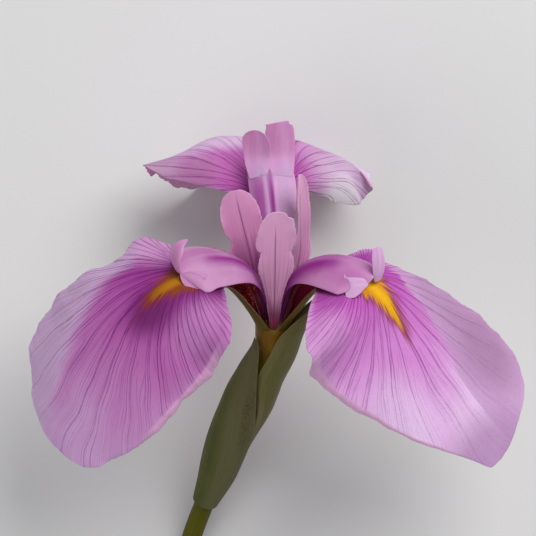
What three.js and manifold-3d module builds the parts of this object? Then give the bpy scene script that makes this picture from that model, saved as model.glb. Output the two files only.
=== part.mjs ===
import * as THREE from 'three';
import { mergeVertices } from 'three/addons/utils/BufferGeometryUtils.js';
import Module from 'manifold-3d';

const wasm = await Module();
wasm.setup();

// Whole flower, in millimetres and degrees. It lies on its back: its axis rises by the tilt from the surface.
const FLOWER_TILT = 35;
const HEART_Z = 45;
const HEART_X = -0.2;
const HEART_Y = 25.1;

// Sheet thicknesses
const FALL_THICK = 0.8;
const STANDARD_THICK = 0.7;
const ARM_THICK = 0.8;
const CREST_THICK = 0.65;
const SPATHE_THICK = 0.7;

// Stem, ovary and perianth tube
const STEM_RADIUS = 2.6;
const TUBE_LOBE_DEPTH = 0.07;

// Faces along and across each kind of sheet, and along and round each bar
const FALL_GRID = [24, 14];
const BACK_FALL_GRID = [28, 14];
const STANDARD_GRID = [18, 6];
const ARM_GRID = [18, 8];
const CREST_GRID = [6, 4];
const BRACT_GRID = [20, 10];
const STEM_GRID = [20, 20];
const TUBE_GRID = [14, 18];
const STAMEN_GRID = [16, 6];

// Rows crowd towards a sheet's tip by this power, and a fold takes this share of the half width
const ROW_CROWDING = 1.25;
const FOLD_SPAN = 0.24;

// Small steps that a sheet's line and cross-section are summed in, between one row or column and the next
const STEPS_ALONG = 6;
const STEPS_ACROSS = 4;

// Half width at and above which the margin's waves have their full height
const FULL_WAVE_WIDTH = 8;

// Every stop list below is [distance along the piece, value]. Left and right are as seen looking along
// the piece with its upper face up; half widths, lengths and offsets in millimetres, the rest in degrees.
const FALL_LEFT = {
  length: 90,
  azimuth: -60,
  reach: 3.8,
  rise: 0.7,
  pitch: [[0, 66], [10, 60], [20, 46], [28, 22], [34, -6], [40, -30], [48, -48], [58, -62], [72, -69],
    [90, -70]],
  roll: [[0, 0], [30, -6], [50, -26], [90, -28]],
  widthL: [[0, 1.6], [5, 3.4], [10, 5], [19, 6.4], [26, 8.4], [30, 13], [34, 17.5], [40, 18], [48, 22.5],
    [58, 26], [70, 25.5], [79, 21.5], [85, 16.5], [88.5, 10], [90, 4]],
  widthR: [[0, 1.6], [5, 2.6], [10, 3.2], [19, 4], [23, 5.2], [25.5, 10], [28, 18], [31, 23], [36, 23.9],
    [42, 22.8], [50, 21.5], [58, 20.3], [70, 18.5], [79, 14], [85, 9], [88.5, 6], [90, 3]],
  archL: [[0, 40], [6, 76], [18, 70], [27, 0], [34, -16], [50, -22], [90, -18]],
  archR: [[0, 40], [18, 36], [27, -4], [34, -16], [50, -22], [90, -18]],
  foldL: [[0, 0], [34, 0], [46, -22], [70, -12], [90, 0]],
  foldAtL: 0.55,
  ruffle: [{ height: 1.0, waves: 4, phase: 0.1, power: 4 }],
};

const FALL_RIGHT = {
  length: 88,
  azimuth: 60,
  reach: 3.8,
  rise: 0.7,
  pitch: [[0, 66], [10, 60], [20, 44], [28, 15], [32, -12], [36, -42], [40, -56], [52, -56], [70, -50],
    [88, -45]],
  roll: [[0, 0], [30, 6], [50, 28], [88, 30]],
  widthL: [[0, 1.6], [5, 2.6], [10, 3.2], [19, 4.4], [21.5, 8], [24, 16], [26.5, 23], [30, 26.7],
    [35, 26.3], [40, 25.2], [48, 22.6], [56, 19.6], [68, 14.5], [78, 8.5], [84, 4.5], [87, 2.5], [88, 1.5]],
  widthR: [[0, 1.6], [5, 3.4], [10, 5], [19, 6.4], [26, 8], [30, 10], [34, 11], [40, 14], [48, 19.5],
    [58, 24.5], [68, 25], [78, 20.5], [84, 12], [87, 6], [88, 2]],
  archL: [[0, 40], [18, 36], [27, -4], [34, -16], [50, -20], [88, -14]],
  archR: [[0, 40], [6, 76], [18, 70], [27, 0], [34, -16], [50, -20], [88, -14]],
  foldR: [[0, 0], [34, 0], [46, -26], [70, -14], [88, 0]],
  foldAtR: 0.45,
  ruffle: [{ height: 1.0, waves: 4, phase: 0.6, power: 4 }],
};

const FALL_BACK = {
  length: 86.5,
  azimuth: 180,
  reach: 3.8,
  rise: 0.7,
  pitch: [[0, 66], [10, 60], [20, 48], [30, 30], [40, 14], [46, 0], [52, -36], [58, -54], [74, -62],
    [77, -40], [80, 40], [82, 55], [86.5, 55]],
  roll: [[0, 0], [86.5, 0]],
  widthL: [[0, 1.6], [5, 2.6], [10, 3.4], [19, 4.4], [26, 4.8], [31, 6], [34, 12], [38, 26], [42, 31],
    [48, 30.5], [58, 27], [69, 23], [76, 20], [80, 16.5], [84, 10.5], [86.5, 5]],
  widthR: [[0, 1.6], [5, 2.6], [10, 3.4], [19, 4.4], [26, 5.6], [30, 10], [34, 20], [38, 29], [44, 34],
    [50, 34], [58, 30], [69, 25], [76, 21], [80, 16.5], [84, 10.5], [86.5, 5]],
  archL: [[0, 40], [18, 36], [26, 0], [32, -40], [38, -90], [43, -80], [50, -54], [68, -26], [86.5, 0]],
  archR: [[0, 40], [18, 36], [26, 0], [32, -12], [42, -18], [50, -30], [68, -24], [86.5, 0]],
  ruffle: [{ height: 1.0, waves: 4, phase: 0.3, power: 4 }],
};

const STANDARD_FRONT = {
  length: 38,
  azimuth: 0,
  reach: 3.6,
  rise: 0.7,
  pitch: [[0, 76], [8, 80], [20, 84], [38, 88]],
  yaw: [[0, 0], [10, 4], [38, 8]],
  roll: [[0, 0], [38, 0]],
  widthL: [[0, 0.9], [10, 1.9], [16, 3], [21, 4.1], [23.5, 3.8], [26, 4.3], [31, 4], [35, 3], [37, 2],
    [38, 1]],
  widthR: [[0, 0.9], [10, 1.9], [16, 3.1], [22, 4.2], [25, 4], [27, 4.8], [32, 4.8], [35.5, 4], [37.3, 3],
    [38, 1.4]],
  archL: [[0, 30], [15, 10], [38, -16]],
  archR: [[0, 30], [15, 10], [38, -16]],
  ruffle: [{ height: 0.4, waves: 3, phase: 0.2, power: 3 }],
};

const STANDARD_LEFT = {
  length: 34.8,
  azimuth: -121,
  reach: 3.6,
  rise: 0.7,
  pitch: [[0, 78], [12, 78], [20, 74], [34.8, 74]],
  yaw: [[0, -8], [34.8, -8]],
  roll: [[0, 0], [12, -30], [34.8, -50]],
  widthL: [[0, 0.9], [10, 1.9], [16, 3.2], [22, 4.6], [28, 4.9], [32, 4], [33.8, 2.8], [34.8, 1.3]],
  widthR: [[0, 0.9], [10, 1.9], [16, 3.6], [20, 4.4], [22, 4], [24, 4.6], [28, 4.9], [32, 4], [33.8, 2.8],
    [34.8, 1.3]],
  archL: [[0, 30], [15, 10], [34.8, -16]],
  archR: [[0, 30], [15, 10], [34.8, -16]],
  ruffle: [{ height: 0.5, waves: 2.5, phase: 0.4, power: 3 }],
};

const STANDARD_RIGHT = {
  length: 39,
  azimuth: 127,
  reach: 3.6,
  rise: 0.7,
  pitch: [[0, 75], [12, 70], [39, 68]],
  yaw: [[0, 4], [12, 14], [22, 56], [39, 58]],
  roll: [[0, 10], [12, 40], [24, 80], [39, 86]],
  widthL: [[0, 0.9], [10, 1.9], [19, 3.4], [30, 4.4], [35, 3.8], [37.5, 2.4], [39, 1.2]],
  widthR: [[0, 0.9], [10, 1.9], [19, 3.4], [30, 4.4], [35, 3.8], [37.5, 2.4], [39, 1.2]],
  archL: [[0, 30], [15, 30], [39, 40]],
  archR: [[0, 30], [15, 30], [39, 40]],
  ruffle: [{ height: 0.4, waves: 3, phase: 0.2, power: 3 }],
};

const ARM_FAR_SIDE = [[0, 1.2], [6, 1.8], [12, 2.4], [18, 3.4], [24, 5.2], [34, 6.6], [39, 5.6], [42, 3]];
const ARM_FAR_ARCH = [[0, -20], [10, -40], [26, -38], [36, -26], [42, -20]];
const ARM_NEAR_SIDE = [[0, 1.2], [6, 1.9], [12, 3], [18, 4.6], [24, 6.7], [33, 8.5], [38, 7.8], [42, 4]];
const ARM_NEAR_ARCH = [[0, -20], [10, -50], [30, -60], [42, -50]];
const ARM_LEFT = {
  length: 42,
  azimuth: -60,
  reach: 1.6,
  rise: 0.9,
  pitch: [[0, 84], [8, 80], [15, 64], [22, 42], [30, 20], [36, 2], [42, -26]],
  roll: [[0, 0], [42, 0]],
  widthL: ARM_FAR_SIDE,
  widthR: ARM_NEAR_SIDE,
  archL: ARM_FAR_ARCH,
  archR: ARM_NEAR_ARCH,
  ruffle: [],
};
const ARM_RIGHT = {
  ...ARM_LEFT,
  azimuth: 60,
  widthL: ARM_NEAR_SIDE,
  widthR: ARM_FAR_SIDE,
  archL: ARM_NEAR_ARCH,
  archR: ARM_FAR_ARCH,
};
const ARM_BACK = {
  ...ARM_LEFT,
  length: 44,
  azimuth: 180,
  pitch: [[0, 82], [8, 76], [15, 62], [22, 48], [30, 36], [38, 26], [44, 20]],
  yaw: [[0, 0], [14, 5], [44, 8]],
  widthL: [[0, 1.2], [6, 1.8], [12, 2.7], [18, 4.2], [24, 6.4], [36, 8], [44, 8.2]],
  widthR: [[0, 1.2], [6, 1.8], [12, 2.5], [18, 3.6], [24, 4.8], [36, 5.6], [44, 6]],
  archL: [[0, -20], [10, -44], [26, -40], [44, -34]],
  archR: [[0, -20], [10, -48], [26, -54], [44, -44]],
};

// Crest lobes, two to an arm. Each one's foot is [distance along the arm, sideways offset]
const CREST_LEFT_FAR = {
  foot: [40.5, 0],
  length: 8,
  azimuth: -60,
  pitch: [[0, 50], [2.5, 84], [8, 106]],
  yaw: [[0, 0], [8, 0]],
  roll: [[0, 24], [8, 46]],
  widthL: [[0, 2.4], [3, 3], [6, 2.6], [8, 0.8]],
  widthR: [[0, 2.4], [3, 3], [6, 2.8], [7.2, 2.4], [8, 1.2]],
  archL: [[0, 10], [8, 30]],
  archR: [[0, 10], [8, 30]],
  ruffle: [],
};
const CREST_LEFT_NEAR = {
  foot: [39.5, 2.2],
  length: 9,
  azimuth: 22,
  pitch: [[0, 24], [3, 6], [9, -16]],
  yaw: [[0, 0], [9, 0]],
  roll: [[0, 0], [9, 0]],
  widthL: [[0, 2.8], [4, 3.4], [7, 2.6], [9, 0.8]],
  widthR: [[0, 2.8], [4, 3.4], [7, 2.6], [9, 0.8]],
  archL: [[0, -10], [9, -20]],
  archR: [[0, -10], [9, -20]],
  ruffle: [],
};
const CREST_RIGHT_FAR = {
  ...CREST_LEFT_FAR,
  foot: [40.5, -0.6],
  length: 7.5,
  azimuth: 60,
  roll: [[0, -30], [8, -60]],
};
const CREST_RIGHT_NEAR = { ...CREST_LEFT_NEAR, foot: [39.5, -2.2], azimuth: -22 };
const CREST_BACK_LEFT = {
  ...CREST_LEFT_FAR,
  foot: [41.5, 3.1],
  length: 8.5,
  azimuth: 180,
  pitch: [[0, 40], [3, 74], [8.5, 92]],
  yaw: [[0, 4], [8.5, 4]],
  roll: [[0, -14], [8.5, -14]],
  widthL: [[0, 2.8], [4, 3.2], [7, 2.4], [8.5, 0.8]],
  widthR: [[0, 2.8], [4, 3.2], [7, 2.6], [8.5, 0.8]],
};
const CREST_BACK_RIGHT = {
  ...CREST_LEFT_FAR,
  foot: [41.5, -4.6],
  length: 10.5,
  azimuth: 180,
  pitch: [[0, 36], [3, 64], [10.5, 84]],
  yaw: [[0, 6], [10.5, 10]],
  roll: [[0, 14], [10.5, 14]],
  widthL: [[0, 3.2], [4, 4], [8, 3.4], [10.5, 2.4]],
  widthR: [[0, 3.2], [4, 4], [8, 3.2], [10.5, 2.4]],
};

// Height above the tube that the bracts' guiding line is carried on to
const GUIDE_ABOVE_TUBE = 16;

// Stamens: a filament with an anther, under each arm, as [distance from the axis, height] stops
const STAMEN_FRONT = [[2.7, 0.8], [4.1, 6], [6.1, 12], [8.9, 17.4], [13.9, 21.6], [20, 24.2]];
const STAMEN_BACK = [[2.7, 0.8], [3.8, 6], [5.5, 12], [8.5, 17.4], [13, 21.9], [18.4, 25.6]];
const FILAMENT_RADIUS = 0.4;
const ANTHER_RADIUS = 0.9;
const ANTHER_LENGTH = 9;
const ANTHER_SHOULDER = 1.5;
const ANTHER_BLUNT = 0.3;

// Lines of the stem and of the ovary with its tube, from the cut end up: x, y, z from the heart's foot
const STEM_LINE = [
  [-27.4, -101, 2.1], [-27.2, -90, 2.1], [-26, -76, 2.1], [-24, -66, 3], [-21.6, -57.5, 6],
  [-18.3, -48.6, 11.2], [-14.8, -40.6, 16.4], [-11.3, -31, 23.2], [-9.2, -26, 26.6],
];
const OVARY_LINE = [
  [-8.8, -25.1, 27.2], [-6.8, -20.4, 30.6], [-3.3, -12.9, 36], [-0.4, -5.7, 41], [0, 0, 45],
];
const OVARY_RADIUS = [[0, 2.9], [3, 3.3], [9, 3.6], [15, 3.1], [20, 2.9], [26, 3.5], [31.5, 4.8]];

// Spathe bracts: where each starts on the stem, its side of the stem, how far it stands off the line, its
// half widths and how far each half wraps round. Side 0 is the upper face of the stem and 90 its right.
const SPATHE_OUTER = {
  start: 56.5,
  length: 58,
  side: [[0, -10], [15, -20], [28, -34], [40, -52], [58, -60]],
  offset: [[0, 3.4], [8, 4.6], [20, 6], [36, 6.7], [46, 6.4], [58, 5.4]],
  widthL: [[0, 4.6], [6, 5.8], [12, 7], [25, 8.2], [36, 7.2], [44, 5], [52, 2.4], [58, 0.8]],
  widthR: [[0, 4.7], [6, 6.1], [12, 7.4], [25, 8.4], [36, 7.2], [44, 5], [52, 2.4], [58, 0.8]],
  archL: [[0, 78], [24, 80], [58, 40]],
  archR: [[0, 78], [24, 80], [58, 40]],
};
const SPATHE_INNER = {
  start: 55,
  length: 71,
  side: [[0, 160], [10, 148], [23, 128], [37, 105], [46, 96], [56, 90], [71, 84]],
  offset: [[0, 3.35], [10, 4], [23, 5.4], [37, 6.8], [42, 6.4], [46.5, 6], [56, 6.5], [63, 8.3],
    [71, 11.4]],
  widthL: [[0, 3.9], [10, 5.6], [24, 7], [37, 7.6], [46, 7.6], [56, 6.6], [63, 4.6], [68, 2.4], [71, 0.8]],
  widthR: [[0, 3.9], [10, 5.4], [23, 7.6], [37, 8.1], [42, 9.2], [47, 10.6], [56, 10.2], [60, 9.4], [64, 7.4],
    [68, 3.8], [71, 0.8]],
  archL: [[0, 74], [20, 80], [37, 86], [46, 90], [56, 76], [63, 60], [71, 40]],
  archR: [[0, 74], [10, 84], [23, 94], [37, 96], [42, 108], [47, 126], [56, 110], [63, 90], [68, 66],
    [71, 40]],
};

// Smooth value of a stop list at a distance, never overshooting its stops
function curve(stops, x) {
  const last = stops.length - 1;
  if (x <= stops[0][0]) return stops[0][1];
  if (x >= stops[last][0]) return stops[last][1];
  const slopes = [];
  for (let k = 0; k < last; k += 1) {
    slopes.push((stops[k + 1][1] - stops[k][1]) / (stops[k + 1][0] - stops[k][0]));
  }
  let i = 0;
  while (stops[i + 1][0] <= x) i += 1;
  const tangent = (k) => {
    if (k === 0) return slopes[0];
    if (k === last) return slopes[last - 1];
    const before = slopes[k - 1];
    const after = slopes[k];
    return before * after <= 0 ? 0 : (2 * before * after) / (before + after);
  };
  const step = stops[i + 1][0] - stops[i][0];
  const t = (x - stops[i][0]) / step;
  const t2 = t * t;
  const t3 = t2 * t;
  return (2 * t3 - 3 * t2 + 1) * stops[i][1]
    + (t3 - 2 * t2 + t) * tangent(i) * step
    + (3 * t2 - 2 * t3) * stops[i + 1][1]
    + (t3 - t2) * tangent(i + 1) * step;
}

function ease(x) {
  const c = Math.min(1, Math.max(0, x));
  return c * c * (3 - 2 * c);
}

function radians(degrees) {
  return (degrees * Math.PI) / 180;
}

// Flower frame to table frame: right, front and up along the flower's own axis
function place(v) {
  const c = Math.cos(radians(FLOWER_TILT));
  const s = Math.sin(radians(FLOWER_TILT));
  return new THREE.Vector3(v.x, -s * v.y + c * v.z, c * v.y + s * v.z)
    .setZ(c * v.y + s * v.z + HEART_Z);
}

// Distances along a piece, closer together towards its tip
function stations(length, rows) {
  const list = [];
  for (let i = 0; i <= rows; i += 1) list.push(length * (1 - (1 - i / rows) ** ROW_CROWDING));
  return list;
}

// Directions along, across and out of a blade at one distance
function directions(spec, d) {
  const azimuth = radians(spec.azimuth);
  const out0 = new THREE.Vector3(Math.sin(azimuth), Math.cos(azimuth), 0);
  const side0 = new THREE.Vector3(Math.cos(azimuth), -Math.sin(azimuth), 0);
  const up = new THREE.Vector3(0, 0, 1);
  const pitch = radians(curve(spec.pitch, d));
  const yaw = spec.yaw ? radians(curve(spec.yaw, d)) : 0;
  const roll = spec.roll ? radians(curve(spec.roll, d)) : 0;
  const out = out0.clone().multiplyScalar(Math.cos(yaw)).addScaledVector(side0, Math.sin(yaw));
  const level = side0.clone().multiplyScalar(Math.cos(yaw)).addScaledVector(out0, -Math.sin(yaw));
  const along = out.clone().multiplyScalar(Math.cos(pitch)).addScaledVector(up, Math.sin(pitch));
  const face = up.clone().multiplyScalar(Math.cos(pitch)).addScaledVector(out, -Math.sin(pitch));
  const across = level.clone().multiplyScalar(Math.cos(roll)).addScaledVector(face, Math.sin(roll));
  const normal = face.clone().multiplyScalar(Math.cos(roll)).addScaledVector(level, -Math.sin(roll));
  return { along, across, normal };
}

// Foot of a blade on the flower's axis
function foot(spec) {
  const azimuth = radians(spec.azimuth);
  return new THREE.Vector3(Math.sin(azimuth) * spec.reach, Math.cos(azimuth) * spec.reach, spec.rise);
}

// Points of one half cross-section, measured across and out of the blade
function halfSection(spec, side, d, count) {
  const width = curve(spec[`width${side}`], d);
  const arch = radians(curve(spec[`arch${side}`], d));
  const fold = spec[`fold${side}`] ? radians(curve(spec[`fold${side}`], d)) : 0;
  const foldAt = spec[`foldAt${side}`] || 0;
  const angle = (x) => arch * x + fold * ease((x - foldAt) / FOLD_SPAN + 0.5);
  let across = 0;
  let out = 0;
  const list = [];
  for (let j = 0; j <= count; j += 1) {
    if (j > 0) {
      for (let k = 0; k < STEPS_ACROSS; k += 1) {
        const phi = angle((j - 1 + (k + 0.5) / STEPS_ACROSS) / count);
        across += (width / count / STEPS_ACROSS) * Math.cos(phi);
        out += (width / count / STEPS_ACROSS) * Math.sin(phi);
      }
    }
    const x = j / count;
    let wave = 0;
    for (const r of spec.ruffle || []) {
      wave += r.height * x ** r.power * Math.sin(2 * Math.PI * ((r.waves * d) / spec.length + r.phase));
    }
    wave *= Math.min(1, width / FULL_WAVE_WIDTH);
    const phi = angle(x);
    list.push([across - Math.sin(phi) * wave, out + Math.cos(phi) * wave]);
  }
  return list;
}

// Middle surface of a blade as rows of points in the flower frame
function bladeRows(spec, [rows, cols], start) {
  const half = cols / 2;
  const point = (start || foot(spec)).clone();
  const grid = [];
  let before = 0;
  for (const d of stations(spec.length, rows)) {
    for (let k = 0; k < STEPS_ALONG; k += 1) {
      const middle = before + ((d - before) * (k + 0.5)) / STEPS_ALONG;
      point.addScaledVector(directions(spec, middle).along, (d - before) / STEPS_ALONG);
    }
    before = d;
    const { across, normal } = directions(spec, d);
    const left = halfSection(spec, 'L', d, half);
    const right = halfSection(spec, 'R', d, half);
    const row = [];
    for (let j = -half; j <= half; j += 1) {
      const [a, n] = j < 0 ? left[-j] : right[j];
      row.push(point.clone().addScaledVector(across, j < 0 ? -a : a).addScaledVector(normal, n));
    }
    grid.push(row);
  }
  return grid;
}

// Point of a blade's middle surface at a distance along it and a sideways offset
function pointOn(spec, d, aside) {
  const steps = 40;
  const point = foot(spec);
  for (let k = 0; k < steps; k += 1) {
    point.addScaledVector(directions(spec, (d * (k + 0.5)) / steps).along, d / steps);
  }
  const side = aside < 0 ? 'L' : 'R';
  const { across, normal } = directions(spec, d);
  const count = 12;
  const list = halfSection(spec, side, d, count);
  const width = curve(spec[`width${side}`], d);
  const index = Math.min(count, Math.round((Math.abs(aside) / width) * count));
  const [a, n] = list[index];
  return point.addScaledVector(across, aside < 0 ? -a : a).addScaledVector(normal, n);
}

// Whole line of the stem and ovary, carried on a little above the tube for the tallest bract
function stemCurve() {
  const points = [...STEM_LINE.slice(0, -1), ...OVARY_LINE.slice(1)].map((p) => new THREE.Vector3(...p));
  points.push(place(new THREE.Vector3(0, 0, GUIDE_ABOVE_TUBE)));
  return new THREE.CatmullRomCurve3(points, false, 'centripetal');
}

// Middle surface of a bract: a line beside the stem with a cross-section arched round it
function bractRows(spec, [rows, cols]) {
  const stemAxis = stemCurve();
  const whole = stemAxis.getLength();
  const lineAt = (d) => {
    const u = (spec.start + d) / whole;
    const along = stemAxis.getTangentAt(u);
    const right = new THREE.Vector3(1, 0, 0).addScaledVector(along, -along.x).normalize();
    const upper = right.clone().cross(along).normalize();
    const side = radians(curve(spec.side, d));
    const away = upper.multiplyScalar(Math.cos(side)).addScaledVector(right, Math.sin(side));
    return { point: stemAxis.getPointAt(u).addScaledVector(away, curve(spec.offset, d)), away };
  };
  const half = cols / 2;
  const grid = [];
  for (const d of stations(spec.length, rows)) {
    const { point, away } = lineAt(d);
    const after = lineAt(Math.min(spec.length, d + 0.2)).point;
    const along = after.sub(lineAt(Math.max(0, d - 0.2)).point).normalize();
    const inward = away.clone().negate();
    inward.addScaledVector(along, -inward.dot(along)).normalize();
    const across = along.clone().cross(inward).normalize();
    const left = halfSection(spec, 'L', d, half);
    const right = halfSection(spec, 'R', d, half);
    const row = [];
    for (let j = -half; j <= half; j += 1) {
      const [a, n] = j < 0 ? left[-j] : right[j];
      row.push(point.clone().addScaledVector(across, j < 0 ? -a : a).addScaledVector(inward, n));
    }
    grid.push(row);
  }
  return grid;
}

// Closed sheet of even thickness about rows of points; anything below the table is pressed flat on it
function sheet(grid, thickness) {
  const rows = grid.length;
  const cols = grid[0].length;
  const position = [];
  const half = thickness / 2;
  const corner = (i, j) => grid[Math.min(rows - 1, Math.max(0, i))][Math.min(cols - 1, Math.max(0, j))];
  const faces = [[], []];
  for (let i = 0; i < rows; i += 1) {
    for (let j = 0; j < cols; j += 1) {
      const down = corner(i + 1, j).clone().sub(corner(i - 1, j));
      const across = corner(i, j + 1).clone().sub(corner(i, j - 1));
      const normal = across.cross(down).normalize();
      const point = grid[i][j].clone();
      if (point.z < half) {
        point.z = half;
        normal.set(0, 0, Math.sign(normal.z) || 1);
      }
      faces[0].push(point.clone().addScaledVector(normal, half));
      faces[1].push(point.clone().addScaledVector(normal, -half));
    }
  }
  for (const p of [...faces[0], ...faces[1]]) position.push(p.x, p.y, p.z);
  const index = [];
  const other = rows * cols;
  for (let i = 0; i < rows - 1; i += 1) {
    for (let j = 0; j < cols - 1; j += 1) {
      const a = i * cols + j;
      const b = a + 1;
      const c = a + cols;
      const e = c + 1;
      index.push(a, b, c, b, e, c);
      index.push(other + a, other + c, other + b, other + b, other + c, other + e);
    }
  }
  const rim = [];
  for (let j = 0; j < cols; j += 1) rim.push(j);
  for (let i = 1; i < rows; i += 1) rim.push(i * cols + cols - 1);
  for (let j = cols - 2; j >= 0; j -= 1) rim.push((rows - 1) * cols + j);
  for (let i = rows - 2; i > 0; i -= 1) rim.push(i * cols);
  for (let k = 0; k < rim.length; k += 1) {
    const a = rim[k];
    const b = rim[(k + 1) % rim.length];
    index.push(a, other + a, b, b, other + a, other + b);
  }
  return meshData(position, index);
}

function meshData(position, index) {
  const geometry = new THREE.BufferGeometry();
  geometry.setAttribute('position', new THREE.Float32BufferAttribute(position, 3));
  geometry.setIndex(index);
  geometry.computeVertexNormals();
  return geometry;
}

// Round bar along a line with its own radius at each distance; ends closed, underside flat on the table
function bar(points, radiusAt, [rings, sides], lobeDepth = 0) {
  const line = new THREE.CatmullRomCurve3(points, false, 'centripetal');
  const length = line.getLength();
  const position = [];
  const index = [];
  for (let i = 0; i <= rings; i += 1) {
    const u = i / rings;
    const centre = line.getPointAt(u);
    const along = line.getTangentAt(u);
    const across = new THREE.Vector3(1, 0, 0).addScaledVector(along, -along.x).normalize();
    const up = across.clone().cross(along).normalize();
    const radius = radiusAt(u * length, length);
    for (let k = 0; k < sides; k += 1) {
      const a = (2 * Math.PI * k) / sides;
      const r = radius * (1 - lobeDepth * Math.sin(3 * a));
      const p = centre.clone()
        .addScaledVector(across, r * Math.cos(a))
        .addScaledVector(up, r * Math.sin(a));
      position.push(p.x, p.y, Math.max(0, p.z));
    }
  }
  for (let i = 0; i < rings; i += 1) {
    for (let k = 0; k < sides; k += 1) {
      const a = i * sides + k;
      const b = i * sides + ((k + 1) % sides);
      index.push(a, a + sides, b, b, a + sides, b + sides);
    }
  }
  for (const ring of [0, rings]) {
    const centre = line.getPointAt(ring / rings);
    const hub = position.length / 3;
    position.push(centre.x, centre.y, centre.z);
    for (let k = 0; k < sides; k += 1) {
      const a = ring * sides + k;
      const b = ring * sides + ((k + 1) % sides);
      if (ring === 0) index.push(hub, a, b);
      else index.push(hub, b, a);
    }
  }
  return meshData(position, index);
}

function toSolid(geometry) {
  const bare = geometry.clone();
  bare.deleteAttribute('normal');
  bare.deleteAttribute('uv');
  const merged = mergeVertices(bare, 1e-4);
  return new wasm.Manifold(new wasm.Mesh({
    numProp: 3,
    vertProperties: new Float32Array(merged.attributes.position.array),
    triVerts: new Uint32Array(merged.index.array),
  }));
}

function toGeometry(solid) {
  const mesh = solid.getMesh();
  return meshData(Array.from(mesh.vertProperties), Array.from(mesh.triVerts));
}

function named(name, geometry, colour, roughness) {
  const material = new THREE.MeshStandardMaterial({ color: colour, roughness, metalness: 0 });
  material.name = `${name}_finish`;
  const mesh = new THREE.Mesh(geometry, material);
  mesh.name = name;
  return mesh;
}

function placed(grid) {
  return grid.map((row) => row.map((p) => place(p)));
}

function fall(name, spec, grid) {
  return named(name, sheet(placed(bladeRows(spec, grid)), FALL_THICK), '#cf92cf', 0.6);
}

function standard(name, spec) {
  return named(name, sheet(placed(bladeRows(spec, STANDARD_GRID)), STANDARD_THICK), '#dda0c6', 0.6);
}

// Style arm with its two crest lobes joined on
function styleArm(name, arm, lobes) {
  let solid = toSolid(sheet(placed(bladeRows(arm, ARM_GRID)), ARM_THICK));
  for (const lobe of lobes) {
    const start = pointOn(arm, lobe.foot[0], lobe.foot[1]);
    solid = solid.add(toSolid(sheet(placed(bladeRows(lobe, CREST_GRID, start)), CREST_THICK)));
  }
  return named(name, toGeometry(solid), '#d694d6', 0.55);
}

function stamen(name, azimuth, path) {
  const a = radians(azimuth);
  const points = path.map(([out, up]) => place(new THREE.Vector3(Math.sin(a) * out, Math.cos(a) * out, up)));
  const radiusAt = (d, length) => {
    const grow = ease((d - length + ANTHER_LENGTH) / ANTHER_SHOULDER)
      * ease((length - d) / ANTHER_SHOULDER + ANTHER_BLUNT);
    return FILAMENT_RADIUS + (ANTHER_RADIUS - FILAMENT_RADIUS) * grow;
  };
  return named(name, bar(points, radiusAt, STAMEN_GRID), '#d9a441', 0.7);
}

function stem() {
  const points = STEM_LINE.map((p) => new THREE.Vector3(...p));
  return named('stem', bar(points, () => STEM_RADIUS, STEM_GRID), '#7f8a3c', 0.6);
}

function ovaryTube() {
  const points = OVARY_LINE.map((p) => new THREE.Vector3(...p));
  const radiusAt = (d) => curve(OVARY_RADIUS, d);
  return named('ovary_tube', bar(points, radiusAt, TUBE_GRID, TUBE_LOBE_DEPTH), '#8a7a2e', 0.6);
}

function spathe(name, spec, colour) {
  return named(name, sheet(bractRows(spec, BRACT_GRID), SPATHE_THICK), colour, 0.65);
}

const flower = new THREE.Group();
flower.name = 'cut_iris_flower';
flower.position.set(HEART_X, HEART_Y, 0);
flower.add(
  stem(),
  ovaryTube(),
  spathe('spathe_outer', SPATHE_OUTER, '#7d8a52'),
  spathe('spathe_inner', SPATHE_INNER, '#8a9366'),
  fall('fall_left', FALL_LEFT, FALL_GRID),
  fall('fall_right', FALL_RIGHT, FALL_GRID),
  fall('fall_back', FALL_BACK, BACK_FALL_GRID),
  standard('standard_front', STANDARD_FRONT),
  standard('standard_left', STANDARD_LEFT),
  standard('standard_right', STANDARD_RIGHT),
  styleArm('style_arm_left', ARM_LEFT, [CREST_LEFT_FAR, CREST_LEFT_NEAR]),
  styleArm('style_arm_right', ARM_RIGHT, [CREST_RIGHT_FAR, CREST_RIGHT_NEAR]),
  styleArm('style_arm_back', ARM_BACK, [CREST_BACK_LEFT, CREST_BACK_RIGHT]),
  stamen('stamen_left', -60, STAMEN_FRONT),
  stamen('stamen_right', 60, STAMEN_FRONT),
  stamen('stamen_back', 180, STAMEN_BACK),
);

export default flower;
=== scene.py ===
import math

import bpy
import numpy as np
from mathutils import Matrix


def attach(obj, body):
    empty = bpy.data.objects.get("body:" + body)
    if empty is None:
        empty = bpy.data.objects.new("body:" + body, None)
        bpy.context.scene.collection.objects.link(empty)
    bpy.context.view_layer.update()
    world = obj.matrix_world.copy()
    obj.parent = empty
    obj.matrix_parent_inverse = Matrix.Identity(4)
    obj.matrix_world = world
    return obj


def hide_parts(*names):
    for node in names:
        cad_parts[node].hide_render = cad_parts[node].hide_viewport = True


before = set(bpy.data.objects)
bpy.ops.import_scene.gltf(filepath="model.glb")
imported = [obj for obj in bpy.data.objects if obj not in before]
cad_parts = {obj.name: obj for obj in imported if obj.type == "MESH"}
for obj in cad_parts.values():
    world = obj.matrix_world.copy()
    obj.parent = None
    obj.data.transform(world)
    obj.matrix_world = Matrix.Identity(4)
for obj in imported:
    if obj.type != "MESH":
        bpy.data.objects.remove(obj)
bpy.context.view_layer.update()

# Shapes are worked out in millimetres and degrees and scaled to metres when a mesh is made
MM = 0.001

# How far the flower is tilted up from lying flat, the place where its petals meet, and the table below it
FLOWER_TILT = 35
HEART = np.array([-0.2, 25.1, 45.0])
UNDER_HEART = HEART * [1, 1, 0]

# Camera straight above the flower, level with the photograph's own centre
CAMERA_SIDE = -1.7
CAMERA_UP = 38.6
CAMERA_HEIGHT = 645
CAMERA_LENS = 161.2


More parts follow.
